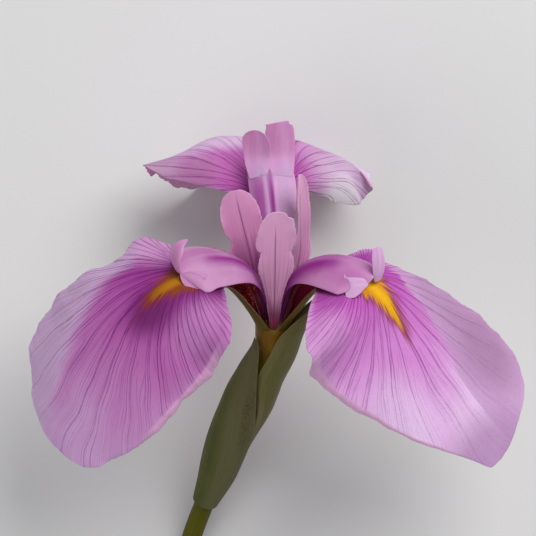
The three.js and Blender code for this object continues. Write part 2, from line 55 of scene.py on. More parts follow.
def add_camera():
    data = bpy.data.cameras.new("camera")
    data.lens = CAMERA_LENS
    data.sensor_width = 36
    data.clip_start = 0.01
    camera = bpy.data.objects.new("camera", data)
    camera.location = (CAMERA_SIDE * MM, CAMERA_UP * MM, CAMERA_HEIGHT * MM)
    bpy.context.scene.collection.objects.link(camera)
    bpy.context.scene.camera = camera


add_camera()
bpy.context.scene.view_settings.view_transform = "Standard"

# Petal thickness in the middle and at the margin
FALL_THICK = (0.5, 0.26)
STANDARD_THICK = (0.42, 0.24)
ARM_THICK = (0.6, 0.3)
CREST_THICK = (0.4, 0.22)
FOOT_THICK = 0.1
SPATHE_THICK = (0.55, 0.22)

# Quads along and across each kind of sheet, and along and round each bar
FALL_GRID = (200, 150)
STANDARD_GRID = (150, 60)
ARM_GRID = (140, 70)
CREST_GRID = (60, 40)
BRACT_GRID = (180, 70)
STEM_GRID = (150, 56)
TUBE_GRID = (90, 66)
STAMEN_GRID = (90, 20)

# How much closer rows stand towards a tip, and how finely lines and cross-sections are worked out
ROW_CROWDING = 1.25
LINE_SAMPLES = 1200
SECTION_STEPS = 3
SPAN_SAMPLES = 60
FOOTHOLD_STEPS = 24
LINE_STEP = 0.4
BRACT_STEP = 0.2

# Places across a sheet from 0 in the middle to 1 at the margin: width of a fold, and where the lip turns
FOLD_SPAN = 0.24
LIP_FROM = 0.86
LIP_SPAN = 0.14

# Waves of a margin are full from this half width on, and drift out of step by these amounts
FULL_WAVE_WIDTH = 8
WAVE_DRIFT = 0.6
DRIFT_PACE = 0.37

# How closely the teeth keep to the margin
TOOTH_POWER = 12

# Blades longer than this have a narrow haft, whose margins stay even up to a half width and fray beyond it
HAFTED = 60
EVEN_HALF_WIDTH = 4.5
FRAY_OVER = 4

# A sheet thins out over these lengths at its tip and at the foot of a crest lobe
TIP_LENGTH = 3
FOOT_LENGTH = 2

# Reach of a sheet's rounded rim, as a share of half its thickness
RIM_REACH = 0.8

# Veins of a fall fan out from this distance along it, start off side by side within this reach and stop
# closing in at the least reach
THROAT = 24
VEIN_SPREAD = 12
VEINS_PER_RADIAN = 6.7
LEAST_REACH = 2

# Rows over which side-by-side veins smooth out the margin's notches
VEIN_SMOOTHING = 61

# The stops below are {distance along the piece: value}. Left and right are as seen looking along the piece
# with its upper face up; half widths, lengths and offsets in millimetres, the rest in degrees. Stops named
# without L or R hold for both sides. A swell is [sideways, distance, half width, half length, height] and a
# ruffle [height, waves, phase, how closely it keeps to the margin]. The falls share their foot and the
# start of their hafts
FALL_BASE = {"reach": 4.8, "rise": 0.7, "from": -6}
HAFT_PITCH = {-6: 84, 0: 70, 6: 62, 10: 60}
HAFT_WALL_ARCH = {-6: 60, 0: 92, 6: 104, 18: 84, 27: 0}
HAFT_SIDE_ARCH = {-6: 56, 0: 56, 6: 44, 18: 34, 27: -4}
HAFT_BACK_ARCH = {-6: 56, 0: 58, 10: 50, 18: 38, 26: 0}

FALL_LEFT = {
    "length": 90, "azimuth": -60, **FALL_BASE,
    "pitch": {**HAFT_PITCH, 20: 46, 28: 22, 34: -6, 40: -30, 48: -48, 58: -62, 72: -69, 90: -70},
    "roll": {0: 0, 30: -6, 50: -26, 90: -28},
    "widthL": {-6: 3.4, 0: 6.4, 5: 8.2, 10: 9.2, 19: 9.4, 26: 9.6, 30: 14.6, 33: 19, 36: 18.7, 40: 17,
               44: 18.6, 48: 21, 54: 24, 58: 26.2, 70: 26, 79: 21.5, 85: 16.5, 88.5: 10, 90: 4},
    "widthR": {-6: 3.2, 0: 3.2, 5: 2.8, 10: 2.6, 15: 2.8, 19: 3.8, 23: 5.4, 25.5: 10.8, 28: 19.2, 31: 23.4,
               36: 24.4, 42: 24.6, 50: 24.2, 58: 22.9, 64: 20.8, 70: 18.7, 79: 14.2, 85: 9, 88.5: 6,
               90: 3},
    "archL": {**HAFT_WALL_ARCH, 34: -16, 50: -22, 90: -18},
    "archR": {**HAFT_SIDE_ARCH, 34: -16, 50: -22, 90: -18},
    "foldL": {0: 0, 34: 0, 46: -22, 70: -12, 90: 0},
    "foldAtL": 0.55,
    "lipR": {0: 0, 24: 0, 36: -36, 52: -58, 66: -60, 80: -20, 90: 0},
    "ruffle": [[0.45, 4, 0.1, 4], [0.2, 11, 0.3, 8], [0.08, 29, 0.0, 14]],
    "teeth": 0.14,
}

FALL_RIGHT = {
    "length": 88, "azimuth": 60, **FALL_BASE,
    "pitch": {**HAFT_PITCH, 20: 44, 28: 13, 32: -11, 36: -34, 42: -53, 52: -56, 70: -50, 88: -45},
    "roll": {0: 0, 30: 6, 50: 28, 88: 30},
    "widthL": {-6: 3.2, 0: 3.2, 5: 2.8, 10: 2.6, 15: 2.9, 19: 4.2, 21.5: 8, 24: 16, 26.5: 23, 30: 26.7,
               34: 27, 38: 27.5, 42: 27.2, 46: 26.2, 50: 25.2, 56: 22.4, 62: 19, 68: 15.8, 78: 8, 84: 3.8,
               87: 2.1, 88: 1.4},
    "widthR": {-6: 3.4, 0: 6.4, 5: 8.2, 10: 8.6, 16: 7.6, 20: 6.8, 23: 7, 26: 11.3, 28: 12.5, 30: 10.4,
               32: 8.9, 36: 9.8, 40: 13, 44: 17.2, 48: 19.4, 54: 21.8, 58: 23.6, 68: 25, 78: 20.5, 84: 12,
               87: 6, 88: 2},
    "archL": {**HAFT_SIDE_ARCH, 36: -8, 52: -20, 88: -14},
    "archR": {**HAFT_WALL_ARCH, 34: -16, 50: -20, 88: -14},
    "foldR": {0: 0, 34: 0, 46: -26, 70: -14, 88: 0},
    "foldAtR": 0.45, "foldSpan": 0.09,
    "lipL": {0: 0, 22: 0, 34: -12, 44: -40, 54: -64, 66: -70, 80: -30, 88: 0},
    "ruffle": [[0.35, 4, 0.6, 4], [0.15, 11, 0.1, 8], [0.06, 27, 0.4, 14]],
    "teeth": 0.1,
}

FALL_BACK = {
    "length": 86.5, "azimuth": 180, **FALL_BASE,
    "pitch": {**HAFT_PITCH, 20: 48, 30: 30, 40: 14, 46: 0, 52: -36, 58: -54, 74: -62, 77: -40, 80: 40,
              82: 55, 86.5: 55},
    "widthL": {-6: 3, 0: 3.4, 5: 3.6, 10: 3.8, 19: 4.4, 26: 4.8, 31: 6, 34: 12, 38: 26, 42: 31, 48: 30.5,
               58: 27, 69: 23, 76: 20, 80: 16.5, 84: 10.5, 86.5: 5},
    "widthR": {-6: 3, 0: 3.4, 5: 3.6, 10: 3.8, 19: 4.4, 26: 5.6, 30: 10, 34: 20, 38: 29, 44: 34, 50: 34,
               58: 32.5, 64: 31, 69: 28.5, 74: 25.5, 77: 21.5, 80: 17, 84: 10.5, 86.5: 5},
    "archL": {**HAFT_BACK_ARCH, 32: -40, 38: -90, 43: -80, 50: -54, 68: -26, 86.5: 0},
    "archR": {**HAFT_BACK_ARCH, 32: -12, 42: -18, 50: -30, 68: -24, 86.5: 0},
    "ruffle": [[1.0, 4, 0.3, 4], [0.25, 13, 0.0, 8], [0.12, 29, 0.2, 14]],
    "swells": [[16, 50, 8, 9, 2], [-13, 46, 5, 9, -1.2], [-25, 42, 8, 9, 2]],
    "teeth": 0.15,
}

STANDARD_BASE = {"reach": 3.6, "rise": 0.7, "teeth": 0.08}

STANDARD_FRONT = {
    "length": 38, "azimuth": 0, **STANDARD_BASE,
    "pitch": {0: 76, 8: 80, 20: 84, 38: 88},
    "yaw": {0: 0, 10: 4, 38: 8},
    "widthL": {0: 0.9, 10: 1.9, 16: 3, 21.7: 4.1, 24.6: 3.6, 26: 3.4, 26.8: 4.4, 29: 4.7, 33: 4.2, 36: 3,
               37.4: 1.9, 38: 0.6},
    "widthR": {0: 0.9, 10: 1.9, 16: 3.1, 21.5: 4.6, 24.5: 4.2, 26: 3.5, 26.8: 4.2, 31: 4.9, 34.5: 4.5,
               36: 4.1, 36.6: 2.9, 37.6: 2.3, 38: 1},
    "arch": {0: 30, 15: 10, 38: -16},
    "ruffle": [[0.4, 3, 0.2, 3], [0.12, 9, 0.1, 6]],
}

STANDARD_LEFT = {
    "length": 34.8, "azimuth": -121, **STANDARD_BASE,
    "pitch": {0: 78, 12: 78, 20: 74, 34.8: 74},
    "yaw": {0: -8, 34.8: -8},
    "roll": {0: 0, 12: -30, 34.8: -50},
    "widthL": {0: 0.9, 10: 1.9, 16: 3.2, 22: 4.6, 28: 4.9, 32: 4, 33.8: 2.8, 34.8: 1.3},
    "widthR": {0: 0.9, 10: 1.9, 16: 3.6, 20: 4.6, 21.4: 3.6, 22.6: 3.9, 24.6: 4.7, 28: 4.9, 32: 4,
               33.8: 2.8, 34.8: 0.9},
    "arch": {0: 30, 15: 10, 34.8: -16},
    "ruffle": [[0.5, 2.5, 0.4, 3], [0.12, 9, 0.3, 6]],
}

STANDARD_RIGHT = {
    "length": 36.6, "azimuth": 127, **STANDARD_BASE,
    "pitch": {0: 75, 12: 70, 39: 68},
    "yaw": {0: 4, 12: 14, 22: 56, 39: 58},
    "roll": {0: 10, 12: 36, 24: 62, 39: 66},
    "width": {0: 0.9, 10: 1.9, 19: 3.3, 28: 4.1, 33: 3.7, 35.4: 2.4, 36.6: 1.2},
    "arch": {0: 30, 15: 30, 39: 40},
    "ruffle": [[0.4, 3, 0.2, 3], [0.12, 9, 0.5, 6]],
}

ARM_NEAR_ARCH = {0: -20, 10: -50, 30: -60, 41.2: -56}

ARM_LEFT = {
    "length": 41.2, "azimuth": -60, "reach": 1.6, "rise": 0.9,
    "pitch": {0: 84, 8: 80, 15: 64, 22: 42, 30: 20, 36: 2, 42: -26},
    "widthL": {0: 1.2, 6: 1.8, 12: 3, 18: 5.6, 24: 7, 30: 7, 34: 7, 37: 6.4, 40: 4.2, 41.2: 1.6},
    "widthR": {0: 1.2, 6: 1.9, 12: 3, 18: 4.6, 24: 6.7, 30: 8.3, 33.5: 8.7, 36.5: 9.3, 38: 9, 39.4: 7.4,
               40.6: 4.8, 41.2: 3},
    "archL": {0: -20, 10: -30, 18: -20, 26: -22, 36: -14, 41.2: -14},
    "archR": ARM_NEAR_ARCH,
}
ARM_RIGHT = {
    **ARM_LEFT, "azimuth": 60, "length": 43,
    "widthL": {0: 1.2, 6: 1.9, 12: 3, 18: 4.7, 24: 7, 30: 9, 33.5: 9.7, 36.5: 10, 38: 9.4, 40: 7.6,
               41.6: 5.4, 43: 3.6},
    "widthR": {0: 1.2, 6: 1.8, 12: 2.4, 18: 3.4, 24: 4.8, 30: 4.6, 34: 4.2, 38: 4, 41: 3.8, 43: 2.4},
    "archL": ARM_NEAR_ARCH,
    "archR": {0: -20, 10: -50, 22: -66, 34: -84, 41.2: -60},
}
ARM_BACK = {
    **ARM_LEFT, "length": 40.5, "azimuth": 180,
    "pitch": {0: 82, 8: 76, 15: 62, 22: 48, 30: 36, 38: 26, 40.5: 22},
    "yaw": {0: 0, 14: 5, 44: 8},
    "widthL": {0: 1.2, 6: 1.8, 12: 2.7, 18: 4.2, 24: 6.4, 35: 8, 38: 7.8, 39.6: 6.6, 40.5: 5},
    "widthR": {0: 1.2, 6: 1.8, 12: 2.5, 18: 3.5, 24: 4.4, 35: 4.9, 38: 4.8, 39.6: 4.2, 40.5: 3},
    "archL": {0: -20, 10: -44, 26: -40, 44: -34},
    "archR": {0: -20, 10: -48, 26: -54, 44: -44},
}

# Crest lobes, two to an arm. Each starts at a distance along the arm and a sideways offset, moved by a
# step right, front and up
CREST_LEFT_FAR = {
    "foot": [41, 0], "step": [-0.4, 0.2, -0.6], "length": 10.3, "azimuth": -60,
    "pitch": {0: 72, 2: 76, 3.6: 90, 5.6: 110, 7.6: 132, 9.4: 172, 10.3: 178},
    "width": {0: 1.4, 2: 1.9, 4: 2.4, 6: 2.4, 8: 1.6, 9.4: 0.8, 10.3: 0.2},
    "arch": {0: 10, 8: 30},
}
CREST_LEFT_NEAR = {
    "foot": [37.4, 6.5], "step": [0, 0.1, -0.2], "length": 6.1, "azimuth": -110,
    "pitch": {0: 15, 6.1: 10},
    "roll": {0: -62, 6.1: -62},
    "widthL": {0: 2.5, 3: 1.5, 6.1: 0.2},
    "widthR": {0: 3.3, 0.7: 2.7, 3: 2.8, 4.5: 2.2, 5.6: 1.2, 6.1: 0.4},
    "archL": {0: -10, 6: -10},
    "archR": {0: 10, 6: 10},
}
CREST_RIGHT_FAR = {
    **CREST_LEFT_FAR, "step": [1.9, 1, -3], "length": 10.1, "azimuth": 60,
    "pitch": {0: 80, 4: 90, 7: 97, 10.1: 103},
    "roll": {0: -24, 10.1: -24},
    "widthL": {0: 0.9, 2: 1.5, 5: 1.8, 8: 1.7, 9.2: 1.4, 10.1: 1.6},
    "widthR": {0: 0.9, 2: 1.5, 5: 1.8, 8: 1.5, 9.3: 1.2, 9.8: 0.7, 10.1: 0.1},
}
CREST_RIGHT_NEAR = {
    "foot": [37.4, -6.5], "step": [0.1, 0.5, -0.9], "length": 5.6, "azimuth": 78,
    "pitch": {0: 13, 5.6: 10},
    "roll": {0: 62, 5.6: 62},
    "widthL": {0: 3, 1.8: 3, 3.4: 2.2, 4.6: 1.1, 5.6: 0.2},
    "widthR": {0: 2.8, 0.6: 1.9, 3: 1.7, 4.6: 1.4, 5.6: 0.3},
    "archL": {0: 10, 6: 10},
    "archR": {0: -10, 6: -10},
}
CREST_BACK_LEFT = {
    **CREST_LEFT_FAR, "foot": [36.6, 2.1], "step": [0, 0.15, 0.26], "length": 12.7, "azimuth": 180,
    "pitch": {0: 27, 3.5: 36, 6.5: 72, 12.5: 92},
    "yaw": {0: 6, 12.5: 4},
    "roll": {0: -14, 12.5: -14},
    "widthL": {0: 2.2, 4: 3.4, 8: 3.6, 10.2: 3.3, 11.6: 2.7, 12.3: 1.9, 12.7: 0.8},
    "widthR": {0: 2.2, 4: 2.9, 8: 3.3, 10.2: 3.4, 11.6: 2.8, 12.3: 2, 12.7: 0.8},
    "archL": {0: -16, 5: 0, 12: 22},
    "archR": {0: -20, 5: 4, 12: 26},
}
CREST_BACK_RIGHT = {
    **CREST_LEFT_FAR, "foot": [36.6, -4.7], "step": [0, 0.15, 0.26], "length": 14.4, "azimuth": 180,
    "pitch": {0: 27, 3.5: 34, 6.5: 62, 14.1: 84},
    "yaw": {0: 7, 14.1: 10},
    "roll": {0: 22, 5: 14, 14.1: 14},
    "widthL": {0: 2.8, 4: 3.3, 8: 3.7, 12: 3.5, 13.2: 3.2, 13.6: 2.4, 14.4: 2.2},
    "widthR": {0: 2.8, 4: 4.2, 8: 4.8, 11: 4.3, 13.6: 3.6, 14.4: 3.8},
    "archL": {0: -20, 5: 4, 12: 22},
    "archR": {0: -16, 5: -8, 12: -4},
}

# Crest lobes carry on the arm's own distances from here
CREST_MARKS_FROM = 50

# The line that the bracts follow runs on to this height above the tube
GUIDE_ABOVE_TUBE = 16

# Stamens under the arms, as [distance from the axis, height] points
STAMEN_FRONT = [[2.7, 0.8], [4.1, 6], [6.1, 12], [8.9, 17.4], [13.9, 21.6], [20, 24.2]]
STAMEN_BACK = [[2.7, 0.8], [3.8, 6], [5.5, 12], [8.5, 17.4], [13, 21.9], [18.4, 25.6]]
FILAMENT_RADIUS = 0.4
ANTHER_RADIUS = 0.9
ANTHER_LENGTH = 9
ANTHER_SHOULDER = 1.5
ANTHER_BLUNT = 0.3

STEM_RADIUS = 2.6
TUBE_LOBES = 3
TUBE_LOBE_DEPTH = 0.07
STEM_LINE = [
    [-27.4, -101, 2.1], [-27.2, -90, 2.1], [-26, -76, 2.1], [-24, -66, 3], [-21.6, -57.5, 6],
    [-18.3, -48.6, 11.2], [-14.8, -40.6, 16.4], [-11.3, -31, 23.2], [-9.2, -26, 26.6],
]
OVARY_LINE = [
    [-8.8, -25.1, 27.2], [-6.8, -20.4, 30.6], [-3.3, -12.9, 36], [-0.4, -5.7, 41], [0, 0, 45],
]
OVARY_RADIUS = {0: 2.9, 3: 3.3, 9: 3.6, 15: 3.1, 20: 3, 24: 3.7, 27: 4.6, 31.5: 4.7}

SPATHE_OUTER = {
    "start": 56.5, "length": 58,
    "side": {0: -10, 15: -20, 28: -34, 40: -52, 58: -60},
    "offset": {0: 3.4, 8: 4.6, 20: 6, 36: 6.7, 46: 6.4, 58: 5.4},
    "widthL": {0: 4.6, 6: 5.8, 12: 7, 25: 8.2, 36: 7.2, 44: 5, 52: 2.4, 58: 0.6},
    "widthR": {0: 4.7, 6: 6.1, 12: 7.4, 25: 8.4, 36: 7.2, 44: 5, 52: 2.4, 58: 0.6},
    "arch": {0: 78, 24: 80, 58: 40},
}
SPATHE_INNER = {
    "start": 55, "length": 71,
    "side": {0: 160, 10: 148, 23: 128, 37: 105, 46: 96, 56: 90, 71: 84},
    "offset": {0: 3.35, 10: 4, 23: 5.4, 37: 6.8, 42: 6.4, 46.5: 6, 56: 6.5, 63: 8.3, 71: 11.4},
    "widthL": {0: 3.9, 10: 5.6, 24: 7, 37: 7.6, 46: 7.6, 56: 6.6, 63: 4.6, 68: 2.4, 71: 0.6},
    "widthR": {0: 3.9, 10: 5.4, 23: 7.6, 37: 8.1, 42: 9.2, 47: 10.6, 56: 10.2, 60: 9.4, 64: 7.4, 68: 3.8,
               71: 0.6},
    "archL": {0: 74, 20: 80, 37: 86, 46: 90, 56: 76, 63: 60, 71: 40},
    "archR": {0: 74, 10: 84, 23: 94, 37: 96, 42: 108, 47: 126, 56: 110, 63: 90, 68: 66, 71: 40},
}


def curve(stops, x):
    """Smooth value of stops at a distance, never overshooting them."""
    xs, ys = np.array(list(stops.items()), float).T
    slopes = np.diff(ys) / np.diff(xs)
    tangents = np.concatenate([slopes[:1], np.zeros(len(xs) - 2), slopes[-1:]])
    before, after = slopes[:-1], slopes[1:]
    same = before * after > 0
    tangents[1:-1][same] = 2 * before[same] * after[same] / (before[same] + after[same])
    x = np.clip(x, xs[0], xs[-1])
    i = np.clip(np.searchsorted(xs, x, side="right") - 1, 0, len(xs) - 2)
    h = xs[i + 1] - xs[i]
    t = (x - xs[i]) / h
    return ((2 * t**3 - 3 * t**2 + 1) * ys[i]
            + (t**3 - 2 * t**2 + t) * tangents[i] * h
            + (3 * t**2 - 2 * t**3) * ys[i + 1]
            + (t**3 - t**2) * tangents[i + 1] * h)


def value(spec, key, d, side=""):
    """Value of a piece's stops at each distance, of one side's own stops or of those for both."""
    stops = spec.get(key + side, spec.get(key))
    return np.zeros_like(d) if stops is None else curve(stops, d)


def ease(x):
    c = np.clip(x, 0, 1)
    return c * c * (3 - 2 * c)


def unit(v):
    return v / np.maximum(np.linalg.norm(v, axis=-1, keepdims=True), 1e-9)


def place(points):
    """From the flower's own frame, right, front and up, to the table's, tilted back."""
    c = math.cos(math.radians(FLOWER_TILT))
    s = math.sin(math.radians(FLOWER_TILT))
    x, y, z = points[..., 0], points[..., 1], points[..., 2]
    return np.stack([x, -s * y + c * z, c * y + s * z], -1) + HEART


def directions(spec, d):
    """Directions along, across and out of a blade at each distance."""
    azimuth = math.radians(spec["azimuth"])
    out0 = np.array([math.sin(azimuth), math.cos(azimuth), 0])
    side0 = np.array([math.cos(azimuth), -math.sin(azimuth), 0])
    up = np.array([0, 0, 1.0])
    pitch, yaw, roll = (np.radians(value(spec, key, d))[:, None] for key in ("pitch", "yaw", "roll"))
    out = np.cos(yaw) * out0 + np.sin(yaw) * side0
    level = np.cos(yaw) * side0 - np.sin(yaw) * out0
    along = np.cos(pitch) * out + np.sin(pitch) * up
    face = np.cos(pitch) * up - np.sin(pitch) * out
    return along, np.cos(roll) * level + np.sin(roll) * face, np.cos(roll) * face - np.sin(roll) * level


def foot(spec):
    azimuth = math.radians(spec["azimuth"])
    reach = spec["reach"]
    return np.array([math.sin(azimuth) * reach, math.cos(azimuth) * reach, spec["rise"]])


def centre_line(spec, d, start):
    """Points of a blade's middle line at each distance, summed in small steps."""
    fine = np.linspace(spec.get("from", 0), spec["length"], LINE_SAMPLES + 1)
    along = directions(spec, (fine[1:] + fine[:-1]) / 2)[0]
    points = np.vstack([np.zeros(3), np.cumsum(along * np.diff(fine)[:, None], axis=0)])
    points = points - [np.interp(0, fine, points[:, k]) for k in range(3)]
    return start + np.stack([np.interp(d, fine, points[:, k]) for k in range(3)], -1)


def margin_wave(spec, d, x, width):
    """Height of the margin's waves and frills above the smooth blade."""
    wave = np.zeros((len(d), len(x)))
    for height, waves, phase, power in spec.get("ruffle", []):
        turn = 2 * np.pi * (waves * d / spec["length"] + phase)
        drift = WAVE_DRIFT * np.sin(turn * DRIFT_PACE)
        wave += height * x[None, :] ** power * np.sin(turn + drift)[:, None]
    return wave * np.minimum(1, width / FULL_WAVE_WIDTH)[:, None]


def tooth_reach(spec, d, x):
    """How far the margin's small teeth stand out; the waves' paces are picked so that no tooth repeats."""
    uneven = np.sin(d * 1.9) * np.sin(d * 0.83 + 1) + 0.6 * np.sin(d * 4.3 + 2 * np.sin(d * 0.5))
    return spec.get("teeth", 0) * uneven[:, None] * x[None, :] ** TOOTH_POWER


def half_section(spec, side, d, count):
    """One half of each cross-section, measured across and out of the blade."""
    width = value(spec, "width", d, side)
    arch, fold, lip = (np.radians(value(spec, key, d, side))[:, None] for key in ("arch", "fold", "lip"))
    fold_at = spec.get("foldAt" + side, 0)
    fold_span = spec.get("foldSpan", FOLD_SPAN)

    def angle(x):
        folded = fold * ease((x - fold_at) / fold_span + 0.5)
        return arch * x + folded + lip * ease((x - LIP_FROM) / LIP_SPAN)

    steps = count * SECTION_STEPS
    middle = (np.arange(steps) + 0.5) / steps
    phi = angle(middle[None, :])
    step = (width / steps)[:, None]
    start = np.zeros((len(d), 1))
    across = np.hstack([start, np.cumsum(step * np.cos(phi), axis=1)])[:, ::SECTION_STEPS]
    out = np.hstack([start, np.cumsum(step * np.sin(phi), axis=1)])[:, ::SECTION_STEPS]
    x = np.linspace(0, 1, count + 1)
    phi = angle(x[None, :])
    broad = ease((width - EVEN_HALF_WIDTH) / FRAY_OVER)[:, None] if spec["length"] > HAFTED else 1
    wave = margin_wave(spec, d, x, width) * broad
    tooth = tooth_reach(spec, d, x) * broad
    across = across + np.cos(phi) * tooth - np.sin(phi) * wave
    return across, out + np.sin(phi) * tooth + np.cos(phi) * wave, width[:, None] * x


def stations(spec, rows):
    """Distances along a piece, closer together towards its tip."""
    first = spec.get("from", 0)
    return first + (spec["length"] - first) * (1 - (1 - np.arange(rows + 1) / rows) ** ROW_CROWDING)


def cross_sections(spec, d, cols):
    """Both halves of the cross-sections side by side, with the flat distance from the middle line."""
    left = half_section(spec, "L", d, cols // 2)
    right = half_section(spec, "R", d, cols // 2)
    joined = [np.hstack([sign * a[:, :0:-1], b]) for a, b, sign in zip(left, right, (-1, 1, -1))]
    edge = np.abs(np.linspace(-1, 1, cols + 1))[None, :] * np.ones((len(d), 1))
    return joined[0], joined[1], joined[2], edge


def blade(spec, grid, start=None):
    """Middle surface of a petal in the table's frame, with its flat coordinates."""
    rows, cols = grid
    d = stations(spec, rows)
    line = centre_line(spec, d, foot(spec) if start is None else start)
    _, side, normal = directions(spec, d)
    across, out, flat, edge = cross_sections(spec, d, cols)
    for aside_at, d_at, half_width, half_length, height in spec.get("swells", []):
        away = ((flat - aside_at) / half_width) ** 2 + ((d[:, None] - d_at) / half_length) ** 2
        out = out + height * np.exp(-away)
    points = line[:, None] + across[..., None] * side[:, None] + out[..., None] * normal[:, None]
    return place(points), flat, d[:, None] + 0 * flat, edge


def point_on(spec, d, aside):
    """Point of a blade's middle surface, in the flower's own frame."""
    at = np.array([float(d)])
    _, side, normal = directions(spec, at)
    across, out, flat = half_section(spec, "L" if aside < 0 else "R", at, FOOTHOLD_STEPS)
    k = int(np.argmin(np.abs(flat[0] - abs(aside))))
    line = centre_line(spec, at, foot(spec))
    return (line + math.copysign(across[0, k], aside) * side + out[0, k] * normal)[0]


def smooth_line(points):
    """Points along a smooth curve through the given ones, with the distance to each."""
    p = np.array(points, float)
    p = np.vstack([2 * p[0] - p[1], p, 2 * p[-1] - p[-2]])
    t = np.linspace(0, 1, SPAN_SAMPLES, endpoint=False)[:, None]
    spans = []
    for a, b, c, e in zip(p, p[1:], p[2:], p[3:]):
        g0, g1, g2 = (np.linalg.norm(v) ** 0.5 for v in (b - a, c - b, e - c))
        t1 = ((b - a) / g0 - (c - a) / (g0 + g1) + (c - b) / g1) * g1
        t2 = ((c - b) / g1 - (e - b) / (g1 + g2) + (e - c) / g2) * g1
        spans.append(b + t1 * t + (3 * (c - b) - 2 * t1 - t2) * t**2 + (2 * (b - c) + t1 + t2) * t**3)
    line = np.vstack([*spans, p[-2][None]])
    return line, np.concatenate([[0], np.cumsum(np.linalg.norm(np.diff(line, axis=0), axis=1))])


def along_line(line, at, d):
    """Point and direction of a line at each distance."""
    def point(s):
        return np.stack([np.interp(s, at, line[:, k]) for k in range(3)], -1)

    low = np.clip(d - LINE_STEP, 0, at[-1])
    high = np.clip(d + LINE_STEP, 0, at[-1])
    return point(d), unit(point(high) - point(low))


def bract(spec, grid):
    """Middle surface of a bract: a line beside the stem with a cross-section arched round it."""
    rows, cols = grid
    guide = place(np.array([0, 0, GUIDE_ABOVE_TUBE])) - UNDER_HEART
    line, at = smooth_line([*STEM_LINE[:-1], *OVARY_LINE[1:], guide])
    d = stations(spec, rows)

    def beside(s):
        point, along = along_line(line, at, spec["start"] + s)
        right = unit(np.array([1.0, 0, 0]) - along * along[:, :1])
        upper = unit(np.cross(right, along))
        side = np.radians(curve(spec["side"], s))[:, None]
        away = upper * np.cos(side) + right * np.sin(side)
        return point + away * curve(spec["offset"], s)[:, None], away

    point, away = beside(d)
    ahead = beside(np.minimum(spec["length"], d + BRACT_STEP))[0]
    along = unit(ahead - beside(np.maximum(0, d - BRACT_STEP))[0])
    inward = unit(-away + along * np.sum(away * along, -1, keepdims=True))
    side = unit(np.cross(along, inward))
    across, out, flat, edge = cross_sections(spec, d, cols)
    points = point[:, None] + across[..., None] * side[:, None] + out[..., None] * inward[:, None]
    return points + UNDER_HEART, flat, d[:, None] + 0 * flat, edge


def sheet_normals(mid):
    return unit(np.cross(np.gradient(mid, axis=1), np.gradient(mid, axis=0)))


def border(rows, cols):
    """Vertex numbers once round a grid's border, each with its inner neighbour."""
    top = [(0, j) for j in range(cols)]
    right = [(i, cols - 1) for i in range(1, rows)]
    bottom = [(rows - 1, j) for j in range(cols - 2, -1, -1)]
    left = [(i, 0) for i in range(rows - 2, 0, -1)]
    ring = top + right + bottom + left
    inner = [(min(max(i, 1), rows - 2), min(max(j, 1), cols - 2)) for i, j in ring]
    return [np.array([i * cols + j for i, j in places]) for places in (ring, inner)]


def closed_sheet(mid, thickness, turned):
    """Closed skin about a middle surface with a rounded rim; what lies below the table is pressed flat."""
    rows, cols = mid.shape[:2]
    normal = sheet_normals(mid) * (-1 if turned else 1)
    half = thickness / 2
    low = mid[..., 2] < half
    mid = mid.copy()
    mid[..., 2] = np.where(low, half, mid[..., 2])
    flat = np.stack([0 * half, 0 * half, np.where(normal[..., 2] < 0, -1.0, 1.0)], -1)
    normal = np.where(low[..., None], flat, normal)
    upper = (mid + normal * half[..., None]).reshape(-1, 3)
    under = (mid - normal * half[..., None]).reshape(-1, 3)
    ring, inner = border(rows, cols)
    middle = mid.reshape(-1, 3)
    rim = middle[ring] + unit(middle[ring] - middle[inner]) * half.reshape(-1, 1)[ring] * RIM_REACH
    rim[:, 2] = np.maximum(rim[:, 2], 0)
    a = (np.arange(rows - 1)[:, None] * cols + np.arange(cols - 1)[None, :]).ravel()
    n = rows * cols
    quads = np.stack([a, a + 1, a + 1 + cols, a + cols], -1)
    back = quads[:, ::-1] + n
    k = np.arange(len(ring))
    after = np.roll(k, -1)
    rim_top = np.stack([ring[k], 2 * n + k, 2 * n + after, ring[after]], -1)
    rim_low = np.stack([2 * n + k, n + ring[k], n + ring[after], 2 * n + after], -1)
    faces = np.vstack([quads, back, rim_top, rim_low])
    if turned:
        faces = faces[:, ::-1]
    return np.vstack([upper, under, rim]), faces, ring


def sheet_part(surface, thick, veins, turned=True, marked_from=0):
    """Vertices, faces and per-vertex marks of one sheet."""
    mid, flat, d, edge = surface
    share = edge**3
    tip = np.clip(1 - (d[-1, 0] - d) / TIP_LENGTH, 0, 1)
    thickness = thick[0] + (thick[1] - thick[0]) * np.maximum(share, tip)
    if marked_from:
        thickness = thickness + (FOOT_THICK - thickness) * np.clip(1 - d / FOOT_LENGTH, 0, 1)
    verts, faces, ring = closed_sheet(mid, thickness, turned)
    label, reach, spacing = veins(flat, d)
    d = d + marked_from
    marks = {
        "flat": np.stack([flat, d, edge], -1).reshape(-1, 3),
        "vein": np.stack([label, reach, spacing], -1).reshape(-1, 3),
    }
    marks = {name: np.vstack([m, m, m[ring]]) for name, m in marks.items()}
    n = flat.size
    marks["upper"] = np.concatenate([np.ones(n), np.zeros(n), np.full(len(ring), 0.5)])
    return verts, faces, marks


def join_parts(parts):
    """Several skins as one mesh's vertices, faces and marks."""
    verts = np.vstack([p[0] for p in parts])
    starts = np.cumsum([0] + [len(p[0]) for p in parts[:-1]])
    faces = np.vstack([p[1] + s for p, s in zip(parts, starts)])
    marks = {name: np.concatenate([p[2][name] for p in parts]) for name in parts[0][2]}
    return verts, faces, marks


